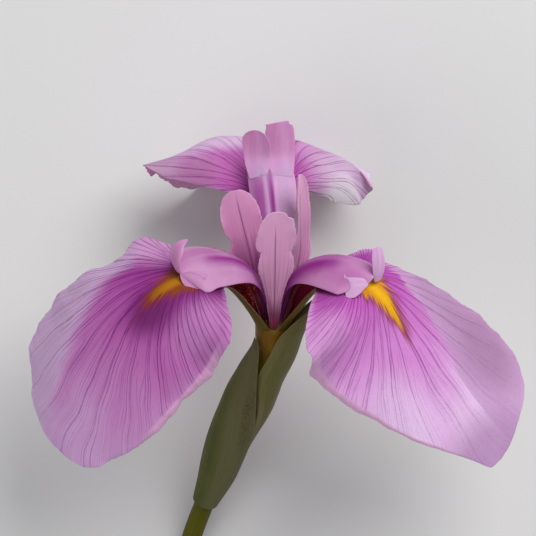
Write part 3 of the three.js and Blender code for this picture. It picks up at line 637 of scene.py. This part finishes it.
def fan_veins(flat, d):
    """Veins that start side by side at the throat and fan out to the margins."""
    ahead = d - THROAT
    reach = np.hypot(flat, ahead)
    angle = np.arctan2(flat, ahead)
    spread = 1 + VEIN_SPREAD / np.maximum(reach, LEAST_REACH)
    label = angle * spread * VEINS_PER_RADIAN
    return label, reach, reach / spread / VEINS_PER_RADIAN


def even_veins(count):
    """Veins that run side by side from end to end, so many to each half."""
    def marks(flat, d):
        width = np.maximum(-flat[:, 0], flat[:, -1])
        window = np.hanning(VEIN_SMOOTHING)
        width = np.convolve(np.pad(width, VEIN_SMOOTHING // 2, mode="edge"), window / window.sum(), "valid")
        width = width[:, None]
        return flat / width * count, d, width / count + 0 * flat

    return marks


def bar_part(line_points, radius_at, grid, lobe_depth=0.0, ridges=0, ridge_depth=0.0):
    """Vertices, faces and marks of a round bar along a line; the underside is flat on the table."""
    rings, sides = grid
    line, at = smooth_line(line_points)
    d = np.linspace(0, at[-1], rings + 1)
    centre, along = along_line(line, at, d)
    across = unit(np.array([1.0, 0, 0]) - along * along[:, :1])
    up = unit(np.cross(across, along))
    a = 2 * np.pi * np.arange(sides) / sides
    shape = 1 - lobe_depth * np.sin(TUBE_LOBES * a) - ridge_depth * (0.5 + 0.5 * np.cos(ridges * a))
    r = radius_at(d, at[-1])[:, None] * shape[None, :]
    verts = (centre[:, None] + (r * np.cos(a))[..., None] * across[:, None]
             + (r * np.sin(a))[..., None] * up[:, None]).reshape(-1, 3)
    verts = np.vstack([verts, centre[0], centre[-1]])
    verts[:, 2] = np.maximum(verts[:, 2], 0)
    i = np.arange(rings)[:, None] * sides
    k = np.arange(sides)
    after = (k + 1) % sides
    quads = np.stack([i + k, i + k + sides, i + after + sides, i + after], -1).reshape(-1, 4)
    last = rings * sides
    hub = np.full(sides, last + sides)
    first_end = np.stack([hub, k, after, after], -1)
    last_end = np.stack([hub + 1, last + after, last + k, last + k], -1)
    girth = (a - np.pi)[None, :] * r
    flat = np.stack([girth, d[:, None] + 0 * girth, 0 * girth], -1).reshape(-1, 3)
    marks = {"flat": np.vstack([flat, [[0, 0, 1], [0, at[-1], 1]]])}
    return verts + UNDER_HEART, np.vstack([quads, first_end, last_end]), marks


def mesh_object(name, part, material):
    """One piece from its vertices, faces and marks, smooth shaded."""
    verts, faces, marks = part
    polygons = [face[:3] if face[2] == face[3] else face for face in faces.tolist()]
    mesh = bpy.data.meshes.new(name)
    mesh.from_pydata((verts * MM).tolist(), [], polygons)
    for key, values in marks.items():
        kind, field = ("FLOAT_VECTOR", "vector") if values.ndim == 2 else ("FLOAT", "value")
        mesh.attributes.new(key, kind, "POINT").data.foreach_set(field, values.astype(np.float32).ravel())
    mesh.polygons.foreach_set("use_smooth", [True] * len(mesh.polygons))
    mesh.materials.append(material)
    mesh.update()
    piece = bpy.data.objects.new(name, mesh)
    bpy.context.scene.collection.objects.link(piece)
    return piece


# Light that spreads inside every piece, and the softness of its sheen
SCATTER_SCALE = 1.0
SCATTER_RADIUS = (0.0012, 0.0007, 0.0010)
SHEEN_ROUGHNESS = 0.4


def made_with(operation, swapped=False):
    """A method of a shader value that takes it and another through a math node."""
    def method(self, other):
        return self.nodes.math(operation, *((other, self) if swapped else (self, other)))

    return method


class ShaderValue:
    """A value inside a material; sums, differences, products and quotients of it are math nodes."""

    def __init__(self, nodes, socket):
        self.nodes = nodes
        self.socket = socket

    def __abs__(self):
        return self.nodes.math("ABSOLUTE", self)

    __add__ = __radd__ = made_with("ADD")
    __sub__ = made_with("SUBTRACT")
    __rsub__ = made_with("SUBTRACT", swapped=True)
    __mul__ = made_with("MULTIPLY")
    __truediv__ = made_with("DIVIDE")


def linear_colour(display):
    """A display colour, red, green and blue from 0 to 255, as linear light."""
    shares = [v / 255 for v in display]
    return (*(c / 12.92 if c <= 0.04045 else ((c + 0.055) / 1.055) ** 2.4 for c in shares), 1.0)


class Nodes:
    """Short ways to add and link shader nodes of one material. Colours are display colours."""

    def __init__(self, name):
        self.material = bpy.data.materials.new(name)
        self.material.use_nodes = True
        self.tree = self.material.node_tree
        self.tree.nodes.clear()

    def add(self, kind, **settings):
        node = self.tree.nodes.new("ShaderNode" + kind)
        for key, setting in settings.items():
            setattr(node, key, setting)
        return node

    def feed(self, sockets, *sources):
        for socket, source in zip(sockets, sources):
            if isinstance(source, ShaderValue):
                self.tree.links.new(source.socket, socket)
            elif isinstance(source, tuple):
                socket.default_value = linear_colour(source)
            else:
                socket.default_value = source

    def math(self, operation, *terms):
        node = self.add("Math", operation=operation)
        self.feed(node.inputs, *terms)
        return ShaderValue(self, node.outputs[0])

    def highest(self, first, *others):
        for other in others:
            first = self.math("MAXIMUM", first, other)
        return first

    def band(self, x, start, end):
        """Turns smoothly from 0 at start to 1 at end, whichever of the two is larger."""
        node = self.add("MapRange", interpolation_type="SMOOTHSTEP")
        rises = end > start
        self.feed(node.inputs, x, min(start, end), max(start, end), float(not rises), float(rises))
        return ShaderValue(self, node.outputs["Result"])

    def attribute(self, name):
        """The three numbers of a per-vertex mark."""
        node = self.add("Attribute", attribute_name=name)
        split = self.add("SeparateXYZ")
        self.feed(split.inputs, ShaderValue(self, node.outputs["Vector"]))
        return [ShaderValue(self, output) for output in split.outputs]

    def number(self, name):
        return ShaderValue(self, self.add("Attribute", attribute_name=name).outputs["Fac"])

    def noise(self, x, y, seed, scale, detail=2.0, rough=0.5):
        point = self.add("CombineXYZ")
        self.feed(point.inputs, x, y, seed)
        node = self.add("TexNoise")
        self.feed([node.inputs[key] for key in ("Vector", "Scale", "Detail", "Roughness")],
                  ShaderValue(self, point.outputs[0]), scale, detail, rough)
        return ShaderValue(self, node.outputs["Fac"])

    def random(self, x):
        node = self.add("TexWhiteNoise", noise_dimensions="1D")
        self.feed([node.inputs["W"]], x)
        return ShaderValue(self, node.outputs["Value"])

    def mix(self, share, a, b):
        node = self.add("Mix", data_type="RGBA")
        self.feed([node.inputs["Factor"], node.inputs[6], node.inputs[7]], share, a, b)
        return ShaderValue(self, node.outputs[2])

    def cover(self, ground, *layers):
        """A ground with layers over it, each given as how strong it is from 0 to 1 and its colour."""
        for share, tint in layers:
            ground = self.mix(share, ground, tint)
        return ground

    def ramp(self, x, places, colours):
        """Colour along a value from 0 to 1."""
        node = self.add("ValToRGB")
        self.feed(node.inputs, x)
        elements = node.color_ramp.elements
        while len(elements) < len(places):
            elements.new(1)
        for element, place_at, tint in zip(elements, places, colours):
            element.position = place_at
            element.color = linear_colour(tint)
        return ShaderValue(self, node.outputs["Color"])

    def finish(self, tint, height, roughness, scatter, sheen, bump, specular):
        bsdf = self.add("BsdfPrincipled")
        relief = self.add("Bump")
        self.feed([relief.inputs["Distance"], relief.inputs["Height"]], bump * MM, height)
        keys = ("Base Color", "Normal", "Roughness", "Subsurface Weight", "Sheen Weight",
                "Specular IOR Level", "Subsurface Scale", "Sheen Roughness")
        normal = ShaderValue(self, relief.outputs["Normal"])
        self.feed([bsdf.inputs[key] for key in keys], tint, normal, roughness, scatter, sheen, specular,
                  SCATTER_SCALE, SHEEN_ROUGHNESS)
        bsdf.inputs["Subsurface Radius"].default_value = SCATTER_RADIUS
        output = self.add("OutputMaterial")
        self.feed(output.inputs, ShaderValue(self, bsdf.outputs[0]))
        return self.material


# Display colours
DUSTY_PINK = (210, 146, 186)
PALE_PINK = (222, 170, 204)
RIM_PINK = (230, 176, 212)
VEIN_PURPLE = (98, 0, 102)
VEIN_GREY = (128, 48, 136)
BAND_MAGENTA = (144, 14, 132)
RUST = (140, 52, 16)
MAROON = (146, 26, 50)
DARK_MAROON = (108, 14, 32)
PURPLE_MAROON = (130, 50, 86)
HAFT_GREEN = (98, 82, 8)
HAFT_RIM = (176, 110, 130)
POLLEN = (244, 130, 24)
GOLDS = ((216, 148, 0), (240, 180, 0))
GRAIN_PURPLE = (120, 60, 120)
STANDARD_VEIN = (140, 70, 120)
STANDARD_MIDRIB = (116, 60, 100)
ARM_MARGIN = (222, 160, 204)
ARM_CLOUD = (224, 178, 216)
ARM_BASE = (158, 54, 148)
ARM_RIB = (228, 172, 222)
BRACT_RIB = (60, 62, 16)
BRACT_BLOTCH = (90, 90, 20)
BRACT_FLECK = (36, 34, 6)
BRACT_EDGE = (136, 112, 80)
STEM_GREEN = (90, 90, 10)
STEM_STREAK = (72, 64, 4)
CUT_GREEN = (190, 196, 130)
FILAMENT_RED = (116, 36, 56)

# Looks of each fall. The ground runs from the signal to the margin; golds are the signal's side and ridge,
# and signal its end and how fast it tapers. A shade is a soft patch of colour: [sideways, distance,
# half width, half length, colour, strength]; two of them are painted light. The left fall's darker ground and
# golds are partly painted shade. A crease is [side, sideways, half width of its edge, colour]
GROUND_PLACES = (0.1, 0.28, 0.5, 0.76, 1.0)
FALL_LOOKS = {
    "fall_left": {
        "seed": 1.0, "reach": 62.0, "centre": 1.2, "veins": 0.95, "pollen": 0.9, "rim_side": 1.0,
        "signal": (45.6, 0.34),
        # painted shade: the golds are a darker copy of the other falls' GOLDS; the ground is darker than
        # theirs, partly its own deeper purple and partly painted shade
        "ground": [(112, 26, 98), (150, 56, 138), (184, 100, 172), (202, 138, 194), (208, 164, 208)],
        "golds": ((136, 70, 0), (180, 116, 0)),
        "crease": (-1.0, 11.5, 2.5, (208, 176, 212)),
        "shades": [
            [15, 36, 7, 15, (208, 144, 202), 0.65],
            [-13, 33, 8, 6, (212, 158, 204), 0.75],
            [-21, 55, 8, 16, (208, 176, 210), 0.5],
            [3, 44, 6, 8, (92, 8, 80), 0.75],
        ],
    },
    "fall_right": {
        "seed": 7.0, "reach": 54.0, "centre": -1.0, "veins": 0.75, "pollen": 0.0, "rim_side": -1.0,
        "signal": (49.0, 0.27),
        "ground": [(176, 72, 166), (194, 98, 186), (214, 136, 208), (222, 164, 220), (232, 198, 232)],
        "golds": GOLDS,
        "crease": (1.0, 6.8, 0.3, (204, 162, 204)),
        "shades": [
            # painted light: this patch brightens the left part, which turns down away from the key lamp and
            # lies in shade
            [-20, 33, 8, 9, (206, 150, 202), 0.75],
            [-12, 66, 9, 13, (236, 210, 240), 0.6],
            [14, 46, 8, 12, (178, 140, 176), 0.8],
            [17, 64, 10, 15, (168, 128, 164), 0.85],
            [1, 85, 14, 10, (178, 138, 180), 0.85],
        ],
    },
    "fall_back": {
        "seed": 13.0, "reach": 46.0, "centre": 0.0, "veins": 0.85, "pollen": 0.0, "rim_side": 0.0,
        "signal": (49.0, 0.27),
        "ground": [(160, 56, 148), (182, 84, 168), (196, 120, 184), (216, 162, 212), (228, 196, 228)],
        "golds": GOLDS,
        "crease": (1.0, 40.0, 4.0, (230, 200, 230)),
        "shades": [
            [11, 38, 8, 7, (208, 112, 192), 0.7],
            [21, 37, 8, 6, (172, 114, 156), 0.75],
            [30, 41, 6, 9, (186, 148, 176), 0.8],
            [-20, 43, 12, 12, (208, 178, 206), 0.9],
            [-24, 58, 12, 10, (236, 212, 240), 0.85],
            # painted light: a near-white patch that brightens the low right lobe where it lies in its own
            # shade
            [-27, 37, 10, 7, (255, 246, 255), 1.0],
            [15, 47.5, 15, 4.5, (222, 190, 222), 0.9],
        ],
    },
}

# Looks of each style arm. The near side, towards the camera, is the side of the sign given; the band's
# middle and the light rib are so far from the middle line on that side. Fades and turns are the distances
# over which the bands end and the arm's ground turns to that of its crests
ARM_LOOKS = {
    "style_arm_left": {
        "seed": 2.0, "near": 1.0, "band": 0.8, "spread": 2.3, "far_band": 0.15, "rib": -1.0, "rib_share": 0.1,
        "fades": (43.0, 31.0), "turns": (34.0, 44.0), "near_ground": (190, 134, 178),
        "far_ground": (188, 118, 172), "crests": ((200, 132, 182), (214, 156, 202)),
    },
    "style_arm_right": {
        "seed": 5.0, "near": -1.0, "band": 2.4, "spread": 2.6, "far_band": 0.4, "rib": -1.2, "rib_share": 0.1,
        "fades": (43.0, 31.0), "turns": (38.0, 50.0), "near_ground": (184, 108, 168),
        "far_ground": (184, 110, 172), "crests": ((220, 172, 216), (232, 194, 230)),
    },
    "style_arm_back": {
        "seed": 8.0, "near": -1.0, "band": 0.9, "spread": 1.3, "far_band": 0.75, "rib": 2.0, "rib_share": 0.7,
        "fades": (47.0, 34.0), "turns": (50.0, 59.0), "near_ground": (200, 162, 202),
        "far_ground": (202, 150, 198), "crests": ((194, 130, 176), (210, 154, 198)),
    },
}

# Grounds of each standard above its maroon foot, as places up it and colours
STANDARD_FOOT_LOOK = ((0.05, 0.13), (MAROON, PURPLE_MAROON))
STANDARD_LOOKS = {
    "standard_front": ((0.3, 0.6, 0.95), ((220, 158, 194), (220, 162, 198), (222, 168, 202))),
    "standard_left": ((0.36, 0.6, 0.95), ((144, 68, 126), (204, 138, 180), (212, 152, 192))),
    "standard_right": ((0.34, 0.6, 0.95), ((188, 126, 168), (190, 130, 168), (220, 162, 198))),
}

# Looks of each bract: its two greens, its paler stripe and tip, and how much its row of flecks stands out
SPATHE_LOOKS = {
    "spathe_outer": {
        "seed": 9.0, "grounds": ((62, 70, 12), (74, 80, 24)), "stripe": (108, 102, 70), "tip": (100, 100, 66),
        "flecked": 0.1,
    },
    "spathe_inner": {
        # painted light, in part: the inner bract's greens are its own paler colour made brighter still
        # against the flower's shadow that falls on it
        "seed": 12.0, "grounds": ((108, 104, 56), (132, 120, 80)), "stripe": (132, 126, 92),
        "tip": (102, 106, 54), "flecked": 0.0,
    },
}

# Looks of the stem and the tube: seed, colour low down and high up, and where one turns to the other
STEM_LOOK = (4.0, (84, 82, 4), STEM_GREEN, (60.0, 90.0))
TUBE_LOOK = (6.0, STEM_GREEN, (120, 88, 6), (14.0, 26.0))

# Levels of a fall's veins, coarse to fine: distance of the forks, half width and darkness
VEIN_LEVELS = ((0, 0.1, 1.0), (14, 0.085, 0.9), (26, 0.07, 0.7), (36, 0.06, 0.55), (48, 0.055, 0.4))

# Seeds that keep a vein's place, turn and strength apart from level to level
PLACE_SEED = 37.1
TURN_SEED = 11.7
STRENGTH_SEED = 5.3


def vein_level(n, label, reach, spacing, level, first, half_width, seed):
    """Darkness of one level of veins; each forks off a coarser one at its own distance out."""
    scale = 2 ** max(0, level - 1)
    cells = label * scale
    cell = n.math("FLOOR", cells)
    chance = n.random(cell + (seed + level * PLACE_SEED))
    if level == 0:
        vein_at = chance * 0.5 + 0.25
        grown = 1.0
    else:
        gone = reach - (chance * (first * 0.7) + first * 0.65)
        spread = n.math("POWER", n.band(gone, 0.0, 9.0), 0.6)
        turn = n.math("GREATER_THAN", n.random(cell + (seed + level * TURN_SEED + 5)), 0.5)
        vein_at = abs(turn - spread * 0.5)
        grown = n.band(gone, 0.0, 1.5)
    gap = abs(cells - cell - vein_at) * (spacing / scale)
    strength = n.random(cell + (seed + level * STRENGTH_SEED + 9)) * 0.45 + 0.55
    return n.band(gap, half_width * 2.0, half_width * 0.3) * strength * grown


def fall_veins(n, label, reach, spacing, seed):
    """All the veins of a fall, and their sideways measure."""
    wander = n.noise(label * 0.4, reach * 0.06, seed, 1.0, 1.0)
    label = label + (wander - 0.5) * 0.7
    levels = [vein_level(n, label, reach, spacing, level, first, half_width, seed) * share
              for level, (first, half_width, share) in enumerate(VEIN_LEVELS)]
    return n.highest(*levels), label


def signal(n, aside, d, label, reach, look):
    """The golden spear at a fall's throat: how gold, how near its ridge and how rusty each spot is."""
    end, taper = look["signal"]
    feather = n.noise(label * 1.9, reach * 0.05, look["seed"] + 3, 1.0)
    off = abs(aside - look["centre"])
    spear = n.math("MINIMUM", (end - d) * taper, 4.6) - off + (feather - 0.5) * 7.0
    begun = n.band(d, 20.0, 25.0)
    gold = n.band(spear, 0.2, 1.2) * begun
    ridge = n.band(off, 2.0, 0.3) * n.band(d, end, end - 11)
    return gold, ridge * gold, n.band(spear, -1.2, 0.5) * begun


def shaded(n, ground, aside, d, shades):
    """A ground with soft patches of other colours, and how strong they are together."""
    weights = []
    for aside_at, d_at, half_width, half_length, tint, share in shades:
        across = (aside - aside_at) * (1 / half_width)
        along = (d - d_at) * (1 / half_length)
        away = n.math("SQRT", across * across + along * along)
        weights.append(n.band(away, 1.35, 0.3) * share)
        ground = n.mix(weights[-1], ground, tint)
    return ground, n.highest(*weights)


def fall_ground(n, look, aside, d, edge, reach, streak):
    """A fall's colours without its veins, and how quiet the veins are there."""
    cloud = n.noise(aside * 0.05, d * 0.05, look["seed"], 1.0)
    zone = reach + (streak - 0.5) * 20.0 + (cloud - 0.5) * 16.0
    ground = n.ramp(zone / look["reach"], GROUND_PLACES, look["ground"])
    side, crease_at, soft, pale = look["crease"]
    off = aside * side + (streak - 0.5) * 5.0
    beyond = n.band(off, crease_at - soft, crease_at + soft) * n.band(d, 29.0, 40.0)
    ground = n.cover(ground, (n.band(edge, 0.72, 1.0) * 0.4, look["ground"][4]), (beyond * 0.85, pale))
    ground, quiet = shaded(n, ground, aside, d, look["shades"])
    return ground, n.highest(quiet, beyond)


def haft_inside(n, look, aside, d, edge, grain):
    """The inner side of a haft: maroon, dusted with pollen, with a pink rim."""
    speckle = n.noise(aside, d, look["seed"] + 1, 1.6, 2.0, 0.6)
    dust = n.band(speckle, 0.56, 0.63) * n.band(d, 1.0, 4.0) * look["pollen"]
    inside = n.mix(dust, n.mix(n.band(grain, 0.3, 0.7), MAROON, DARK_MAROON), POLLEN)
    return n.mix(n.band(edge, 0.93, 0.98), inside, HAFT_RIM)


def fall_underside(n, aside, d, reach, dark):
    """The under side of a fall: pink with faint veins, green under the haft."""
    low = n.mix(dark * 0.3, n.mix(n.band(reach, 30.0, 60.0), DUSTY_PINK, PALE_PINK), VEIN_GREY)
    green = n.highest(n.band(d, 26.0, 19.0), n.band(d, 44.0, 20.0) * n.band(abs(aside), 7.0, 2.0))
    return n.mix(green, low, HAFT_GREEN)


def fall_material(name, look):
    """Finish of a fall: purple round the signal, paler outwards, veined, with a maroon haft."""
    n = Nodes(name)
    seed = look["seed"]
    aside, d, edge = n.attribute("flat")
    label, reach, spacing = n.attribute("vein")
    dark, wandered = fall_veins(n, label, reach, spacing, seed)
    streak = n.noise(wandered * 1.3, reach * 0.03, seed, 1.0, 3.0)
    grain = n.noise(aside, d, seed, 3.2, 3.0, 0.6)
    ground, quiet = fall_ground(n, look, aside, d, edge, reach, streak)
    broken = n.noise(aside * 0.4, d * 0.4, seed, 1.0)
    fade = n.band(reach, 26.0, 60.0) * -0.35 + look["veins"] + n.band(broken, 0.6, 0.3) * -0.25 + quiet * -0.2
    vein_tint = n.mix(n.band(reach, 22.0, 50.0), VEIN_PURPLE, VEIN_GREY)
    gold, ridge, rust = signal(n, aside, d, label, reach, look)
    top = n.cover(ground, (dark * n.highest(fade, 0.1), vein_tint), (rust * 0.75, RUST),
                  (gold, n.mix(ridge, *look["golds"])))
    if look["rim_side"]:
        rim = n.band(aside * look["rim_side"], 2.0, 8.0) * n.band(edge, 0.875, 0.915)
        rim = rim * (n.band(d, 32.0, 42.0) * n.band(d, 82.0, 70.0))
        top = n.mix(rim * 0.85, top, RIM_PINK)
    haft = n.band(d + streak * 6.0, 27.0, 21.0)
    top = n.mix(haft, top, haft_inside(n, look, aside, d, edge, grain))
    shade = n.mix(n.number("upper"), fall_underside(n, aside, d, reach, dark), top)
    shade = n.mix((0.55 - grain) * 0.5, shade, GRAIN_PURPLE)
    height = dark * -0.25 + grain * 0.35 + streak * 0.5 + ridge * 1.5
    return n.finish(shade, height, roughness=0.6, scatter=0.2, sheen=0.0, bump=0.2, specular=0.12)


def standard_material(name, seed, places, tints):
    """Finish of a standard: dusty pink with a dark middle vein and fine side veins, maroon at its foot."""
    n = Nodes(name)
    aside, d, edge = n.attribute("flat")
    label, reach, spacing = n.attribute("vein")
    wander = n.noise(label, d * 0.1, seed, 0.6, 1.0)
    label = label + (wander - 0.5) * 0.8
    fine = vein_level(n, label, reach, spacing, 0, 0, 0.07, seed)
    finer = vein_level(n, label, reach, spacing, 1, 4, 0.05, seed)
    centre = n.band(abs(aside), 0.22, 0.05) * n.band(d, 36.0, 28.0)
    dark = n.highest(fine * 0.4, finer * 0.3) * n.band(d, 34.0, 14.0)
    streak = n.noise(label * 0.7, d * 0.05, seed, 1.0, 3.0)
    grain = n.noise(aside, d, seed, 3.5, 3.0, 0.6)
    up = d / 38.0 + (streak - 0.5) * 0.3
    ground = n.ramp(up, (*STANDARD_FOOT_LOOK[0], *places), (*STANDARD_FOOT_LOOK[1], *tints))
    ground = n.cover(ground, (n.band(edge, 0.8, 1.0) * 0.35, PALE_PINK), (dark, STANDARD_VEIN),
                     (centre * 0.6, STANDARD_MIDRIB))
    height = dark * -0.5 + centre * -0.8 + grain * 0.35 + streak * 0.5
    return n.finish(ground, height, roughness=0.55, scatter=0.25, sheen=0.1, bump=0.18, specular=0.25)


def arm_bands(n, look, off, d, cloud):
    """The magenta bands beside a style arm's middle."""
    band_at = look["band"]
    spread = look["spread"]
    near = n.band(off, band_at - spread, band_at) * n.band(off, band_at + 1.5 * spread, band_at)
    far = n.band(off, band_at - 1.0, band_at - 2.4) * n.band(off, band_at - 7.0, band_at - 3.4)
    return n.highest(near, far * look["far_band"]) * n.band(d + cloud * 6.0, *look["fades"])


def arm_material(name, look):
    """Finish of a style arm: pale, with a magenta band on each side of its middle, and pink crest lobes."""
    n = Nodes(name)
    seed = look["seed"]
    aside, d, edge = n.attribute("flat")
    label = n.attribute("vein")[0]
    streak = n.noise(label * 0.7, d * 0.04, seed, 1.0, 3.0)
    cloud = n.noise(aside * 0.12, d * 0.12, seed, 1.0)
    grain = n.noise(aside, d, seed, 3.5, 3.0, 0.6)
    off = aside * look["near"] + (streak - 0.5) * 1.8
    bands = arm_bands(n, look, off, d, cloud)
    rib = n.band(abs(aside * look["near"] - look["rib"]), 0.9, 0.2) * n.band(d, 46.0, 30.0)
    soft = n.noise(label * 0.35, d * 0.05, seed, 1.0)
    ground = n.cover(
        n.mix(n.band(off, -2.0, 2.0), look["far_ground"], look["near_ground"]),
        (n.band(edge, 0.6, 1.0) * 0.6, ARM_MARGIN),
        (n.band(cloud, 0.4, 0.7) * 0.25, ARM_CLOUD),
        (n.band(d, 27.0, 12.0) * 0.85, ARM_BASE),
        (bands * 0.96, BAND_MAGENTA),
        (rib * look["rib_share"], ARM_RIB),
        (n.band(d, *look["turns"]) * (1.0 - bands), n.mix(n.band(soft, 0.35, 0.7), *look["crests"])),
    )
    height = streak * 0.8 + grain * 0.35 + rib * 0.6
    return n.finish(ground, height, roughness=0.55, scatter=0.25, sheen=0.05, bump=0.2, specular=0.25)


def spathe_material(name, seed, grounds, stripe, tip, flecked):
    """Finish of a bract: olive streaks, a paler stripe and tip, fine ribs, dark flecks and a dry edge."""
    n = Nodes(name)
    aside, d, edge = n.attribute("flat")
    label = n.attribute("vein")[0]
    streak = n.noise(label * 0.6, d * 0.03, seed, 1.0, 3.0)
    fleck = n.noise(aside * 0.8, d * 1.5, seed, 2.6, 2.0, 0.6)
    blotch = n.noise(aside * 0.12, d * 0.06, seed, 1.0)
    ribs = n.math("SINE", label * 6.283)
    wavy = aside + (streak - 0.5) * 6.0
    row = n.band(abs(aside + 5.0), 1.8, 0.8) * n.band(abs(d - 33.0), 13.0, 7.0)
    spots = n.band(fleck - (0.62 - row * flecked), 0.0, 0.06)
    ground = n.cover(
        n.mix(n.band(streak + blotch * 0.4, 0.55, 0.85), *grounds),
        (n.band(ribs, 0.2, 1.0) * 0.08, BRACT_RIB),
        (n.band(blotch, 0.5, 0.75) * 0.35, BRACT_BLOTCH),
        (n.band(wavy, 2.5, -1.5) * 0.6, stripe),
        (n.band(d + wavy, 44.0, 60.0) * 0.6, tip),
        (spots * 0.55, BRACT_FLECK),
        (n.band(edge, 0.93, 1.0) * 0.5, BRACT_EDGE),
    )
    height = ribs * 0.14 + fleck * 0.4
    return n.finish(ground, height, roughness=0.55, scatter=0.08, sheen=0.0, bump=0.2, specular=0.2)


def stem_material(name, seed, low, high, span):
    """Finish of the stem and of the tube: one colour low down turning to another, with fine lines."""
    n = Nodes(name)
    aside, d, edge = n.attribute("flat")
    lines = n.noise(aside * 1.6, d * 0.05, seed, 1.0, 3.0)
    grain = n.noise(aside, d, seed, 2.0, 3.0, 0.6)
    ground = n.cover(n.mix(n.band(d, *span), low, high),
                     (n.band(lines, 0.45, 0.7) * 0.35, STEM_STREAK), (edge * 0.5, CUT_GREEN))
    height = lines + grain * 0.3
    return n.finish(ground, height, roughness=0.5, scatter=0.1, sheen=0.0, bump=0.15, specular=0.12)


def stamen_material(name):
    """Finish of a stamen: pale filament and grainy pollen."""
    n = Nodes(name)
    aside, d, _ = n.attribute("flat")
    grain = n.noise(aside, d, 1.0, 4.0, 3.0, 0.7)
    pollen = n.mix(n.band(grain, 0.4, 0.65), RUST, POLLEN)
    ground = n.mix(n.band(d, 22.0, 24.0), FILAMENT_RED, pollen)
    return n.finish(ground, grain, roughness=0.8, scatter=0.05, sheen=0.0, bump=0.35, specular=0.35)


def stamen(azimuth, path):
    a = math.radians(azimuth)
    points = place(np.array([[math.sin(a) * out, math.cos(a) * out, up] for out, up in path])) - UNDER_HEART

    def radius(d, length):
        grow = ease((d - length + ANTHER_LENGTH) / ANTHER_SHOULDER)
        grow = grow * ease((length - d) / ANTHER_SHOULDER + ANTHER_BLUNT)
        return FILAMENT_RADIUS + (ANTHER_RADIUS - FILAMENT_RADIUS) * grow

    return bar_part(points.tolist(), radius, STAMEN_GRID, ridges=4, ridge_depth=0.12)


def style_arm(arm, lobes):
    parts = [sheet_part(blade(arm, ARM_GRID), ARM_THICK, even_veins(count=5))]
    for lobe in lobes:
        surface = blade(lobe, CREST_GRID, point_on(arm, *lobe["foot"]) + lobe["step"])
        parts.append(sheet_part(surface, CREST_THICK, even_veins(count=4), marked_from=CREST_MARKS_FROM))
    return join_parts(parts)


def add_piece(name, part, material):
    piece = mesh_object(f"shown_{name}", part, material)
    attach(piece, "root")
    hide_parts(name)


def add_falls():
    for name, spec in (("fall_left", FALL_LEFT), ("fall_right", FALL_RIGHT), ("fall_back", FALL_BACK)):
        part = sheet_part(blade(spec, FALL_GRID), FALL_THICK, fan_veins)
        add_piece(name, part, fall_material(name, FALL_LOOKS[name]))


def add_standards():
    specs = (("standard_front", STANDARD_FRONT), ("standard_left", STANDARD_LEFT),
             ("standard_right", STANDARD_RIGHT))
    for seed, (name, spec) in enumerate(specs, start=3):
        part = sheet_part(blade(spec, STANDARD_GRID), STANDARD_THICK, even_veins(count=5))
        add_piece(name, part, standard_material(name, seed, *STANDARD_LOOKS[name]))


def add_arms():
    specs = (
        ("style_arm_left", ARM_LEFT, [CREST_LEFT_FAR, CREST_LEFT_NEAR]),
        ("style_arm_right", ARM_RIGHT, [CREST_RIGHT_FAR, CREST_RIGHT_NEAR]),
        ("style_arm_back", ARM_BACK, [CREST_BACK_LEFT, CREST_BACK_RIGHT]),
    )
    for name, arm, lobes in specs:
        add_piece(name, style_arm(arm, lobes), arm_material(name, ARM_LOOKS[name]))


def add_stamens():
    material = stamen_material("stamen")
    for name, azimuth, path in (("stamen_left", -60, STAMEN_FRONT), ("stamen_right", 60, STAMEN_FRONT),
                                ("stamen_back", 180, STAMEN_BACK)):
        add_piece(name, stamen(azimuth, path), material)


def add_stem():
    stem = bar_part(STEM_LINE, lambda d, length: np.full_like(d, STEM_RADIUS), STEM_GRID,
                    ridges=9, ridge_depth=0.02)
    add_piece("stem", stem, stem_material("stem", *STEM_LOOK))
    tube = bar_part(OVARY_LINE, lambda d, length: curve(OVARY_RADIUS, d), TUBE_GRID, TUBE_LOBE_DEPTH,
                    ridges=6, ridge_depth=0.04)
    add_piece("ovary_tube", tube, stem_material("tube", *TUBE_LOOK))


def add_spathes():
    for name, spec in (("spathe_outer", SPATHE_OUTER), ("spathe_inner", SPATHE_INNER)):
        part = sheet_part(bract(spec, BRACT_GRID), SPATHE_THICK, even_veins(count=9), turned=False)
        add_piece(name, part, spathe_material(name, **SPATHE_LOOKS[name]))


def add_floor():
    n = Nodes("floor")
    bsdf = n.add("BsdfPrincipled")
    bsdf.inputs["Base Color"].default_value = (0.7, 0.69, 0.68, 1.0)
    bsdf.inputs["Roughness"].default_value = 0.8
    n.feed(n.add("OutputMaterial").inputs, ShaderValue(n, bsdf.outputs[0]))
    mesh = bpy.data.meshes.new("floor")
    half = 1.5
    corners = [(-half, -half, 0), (half, -half, 0), (half, half, 0), (-half, half, 0)]
    mesh.from_pydata(corners, [], [(0, 1, 2, 3)])
    mesh.materials.append(n.material)
    floor = bpy.data.objects.new("floor", mesh)
    bpy.context.scene.collection.objects.link(floor)


# Both lamps point at this place, a little above the table
LIGHT_TARGET = np.array([0.0, 0.03, 0.03])


def add_light(name, place_at, size, power):
    data = bpy.data.lights.new(name, "AREA")
    data.shape = "DISK"
    data.size = size
    data.energy = power
    lamp = bpy.data.objects.new(name, data)
    lamp.location = place_at
    away = np.array(place_at) - LIGHT_TARGET
    flat = math.hypot(away[0], away[1])
    lamp.rotation_euler = (math.atan2(flat, away[2]), 0, math.atan2(away[0], -away[1]))
    bpy.context.scene.collection.objects.link(lamp)


def add_lights():
    add_light("key", (0.4, 0.55, 0.85), size=0.75, power=9)
    add_light("fill", (-0.6, -0.4, 0.7), size=0.8, power=2.5)
    world = bpy.data.worlds.new("world")
    world.use_nodes = True
    background = world.node_tree.nodes["Background"]
    background.inputs["Color"].default_value = (0.9, 0.93, 1.0, 1.0)
    background.inputs["Strength"].default_value = 0.3
    bpy.context.scene.world = world


add_stem()
add_spathes()
add_falls()
add_standards()
add_arms()
add_stamens()
add_floor()
add_lights()
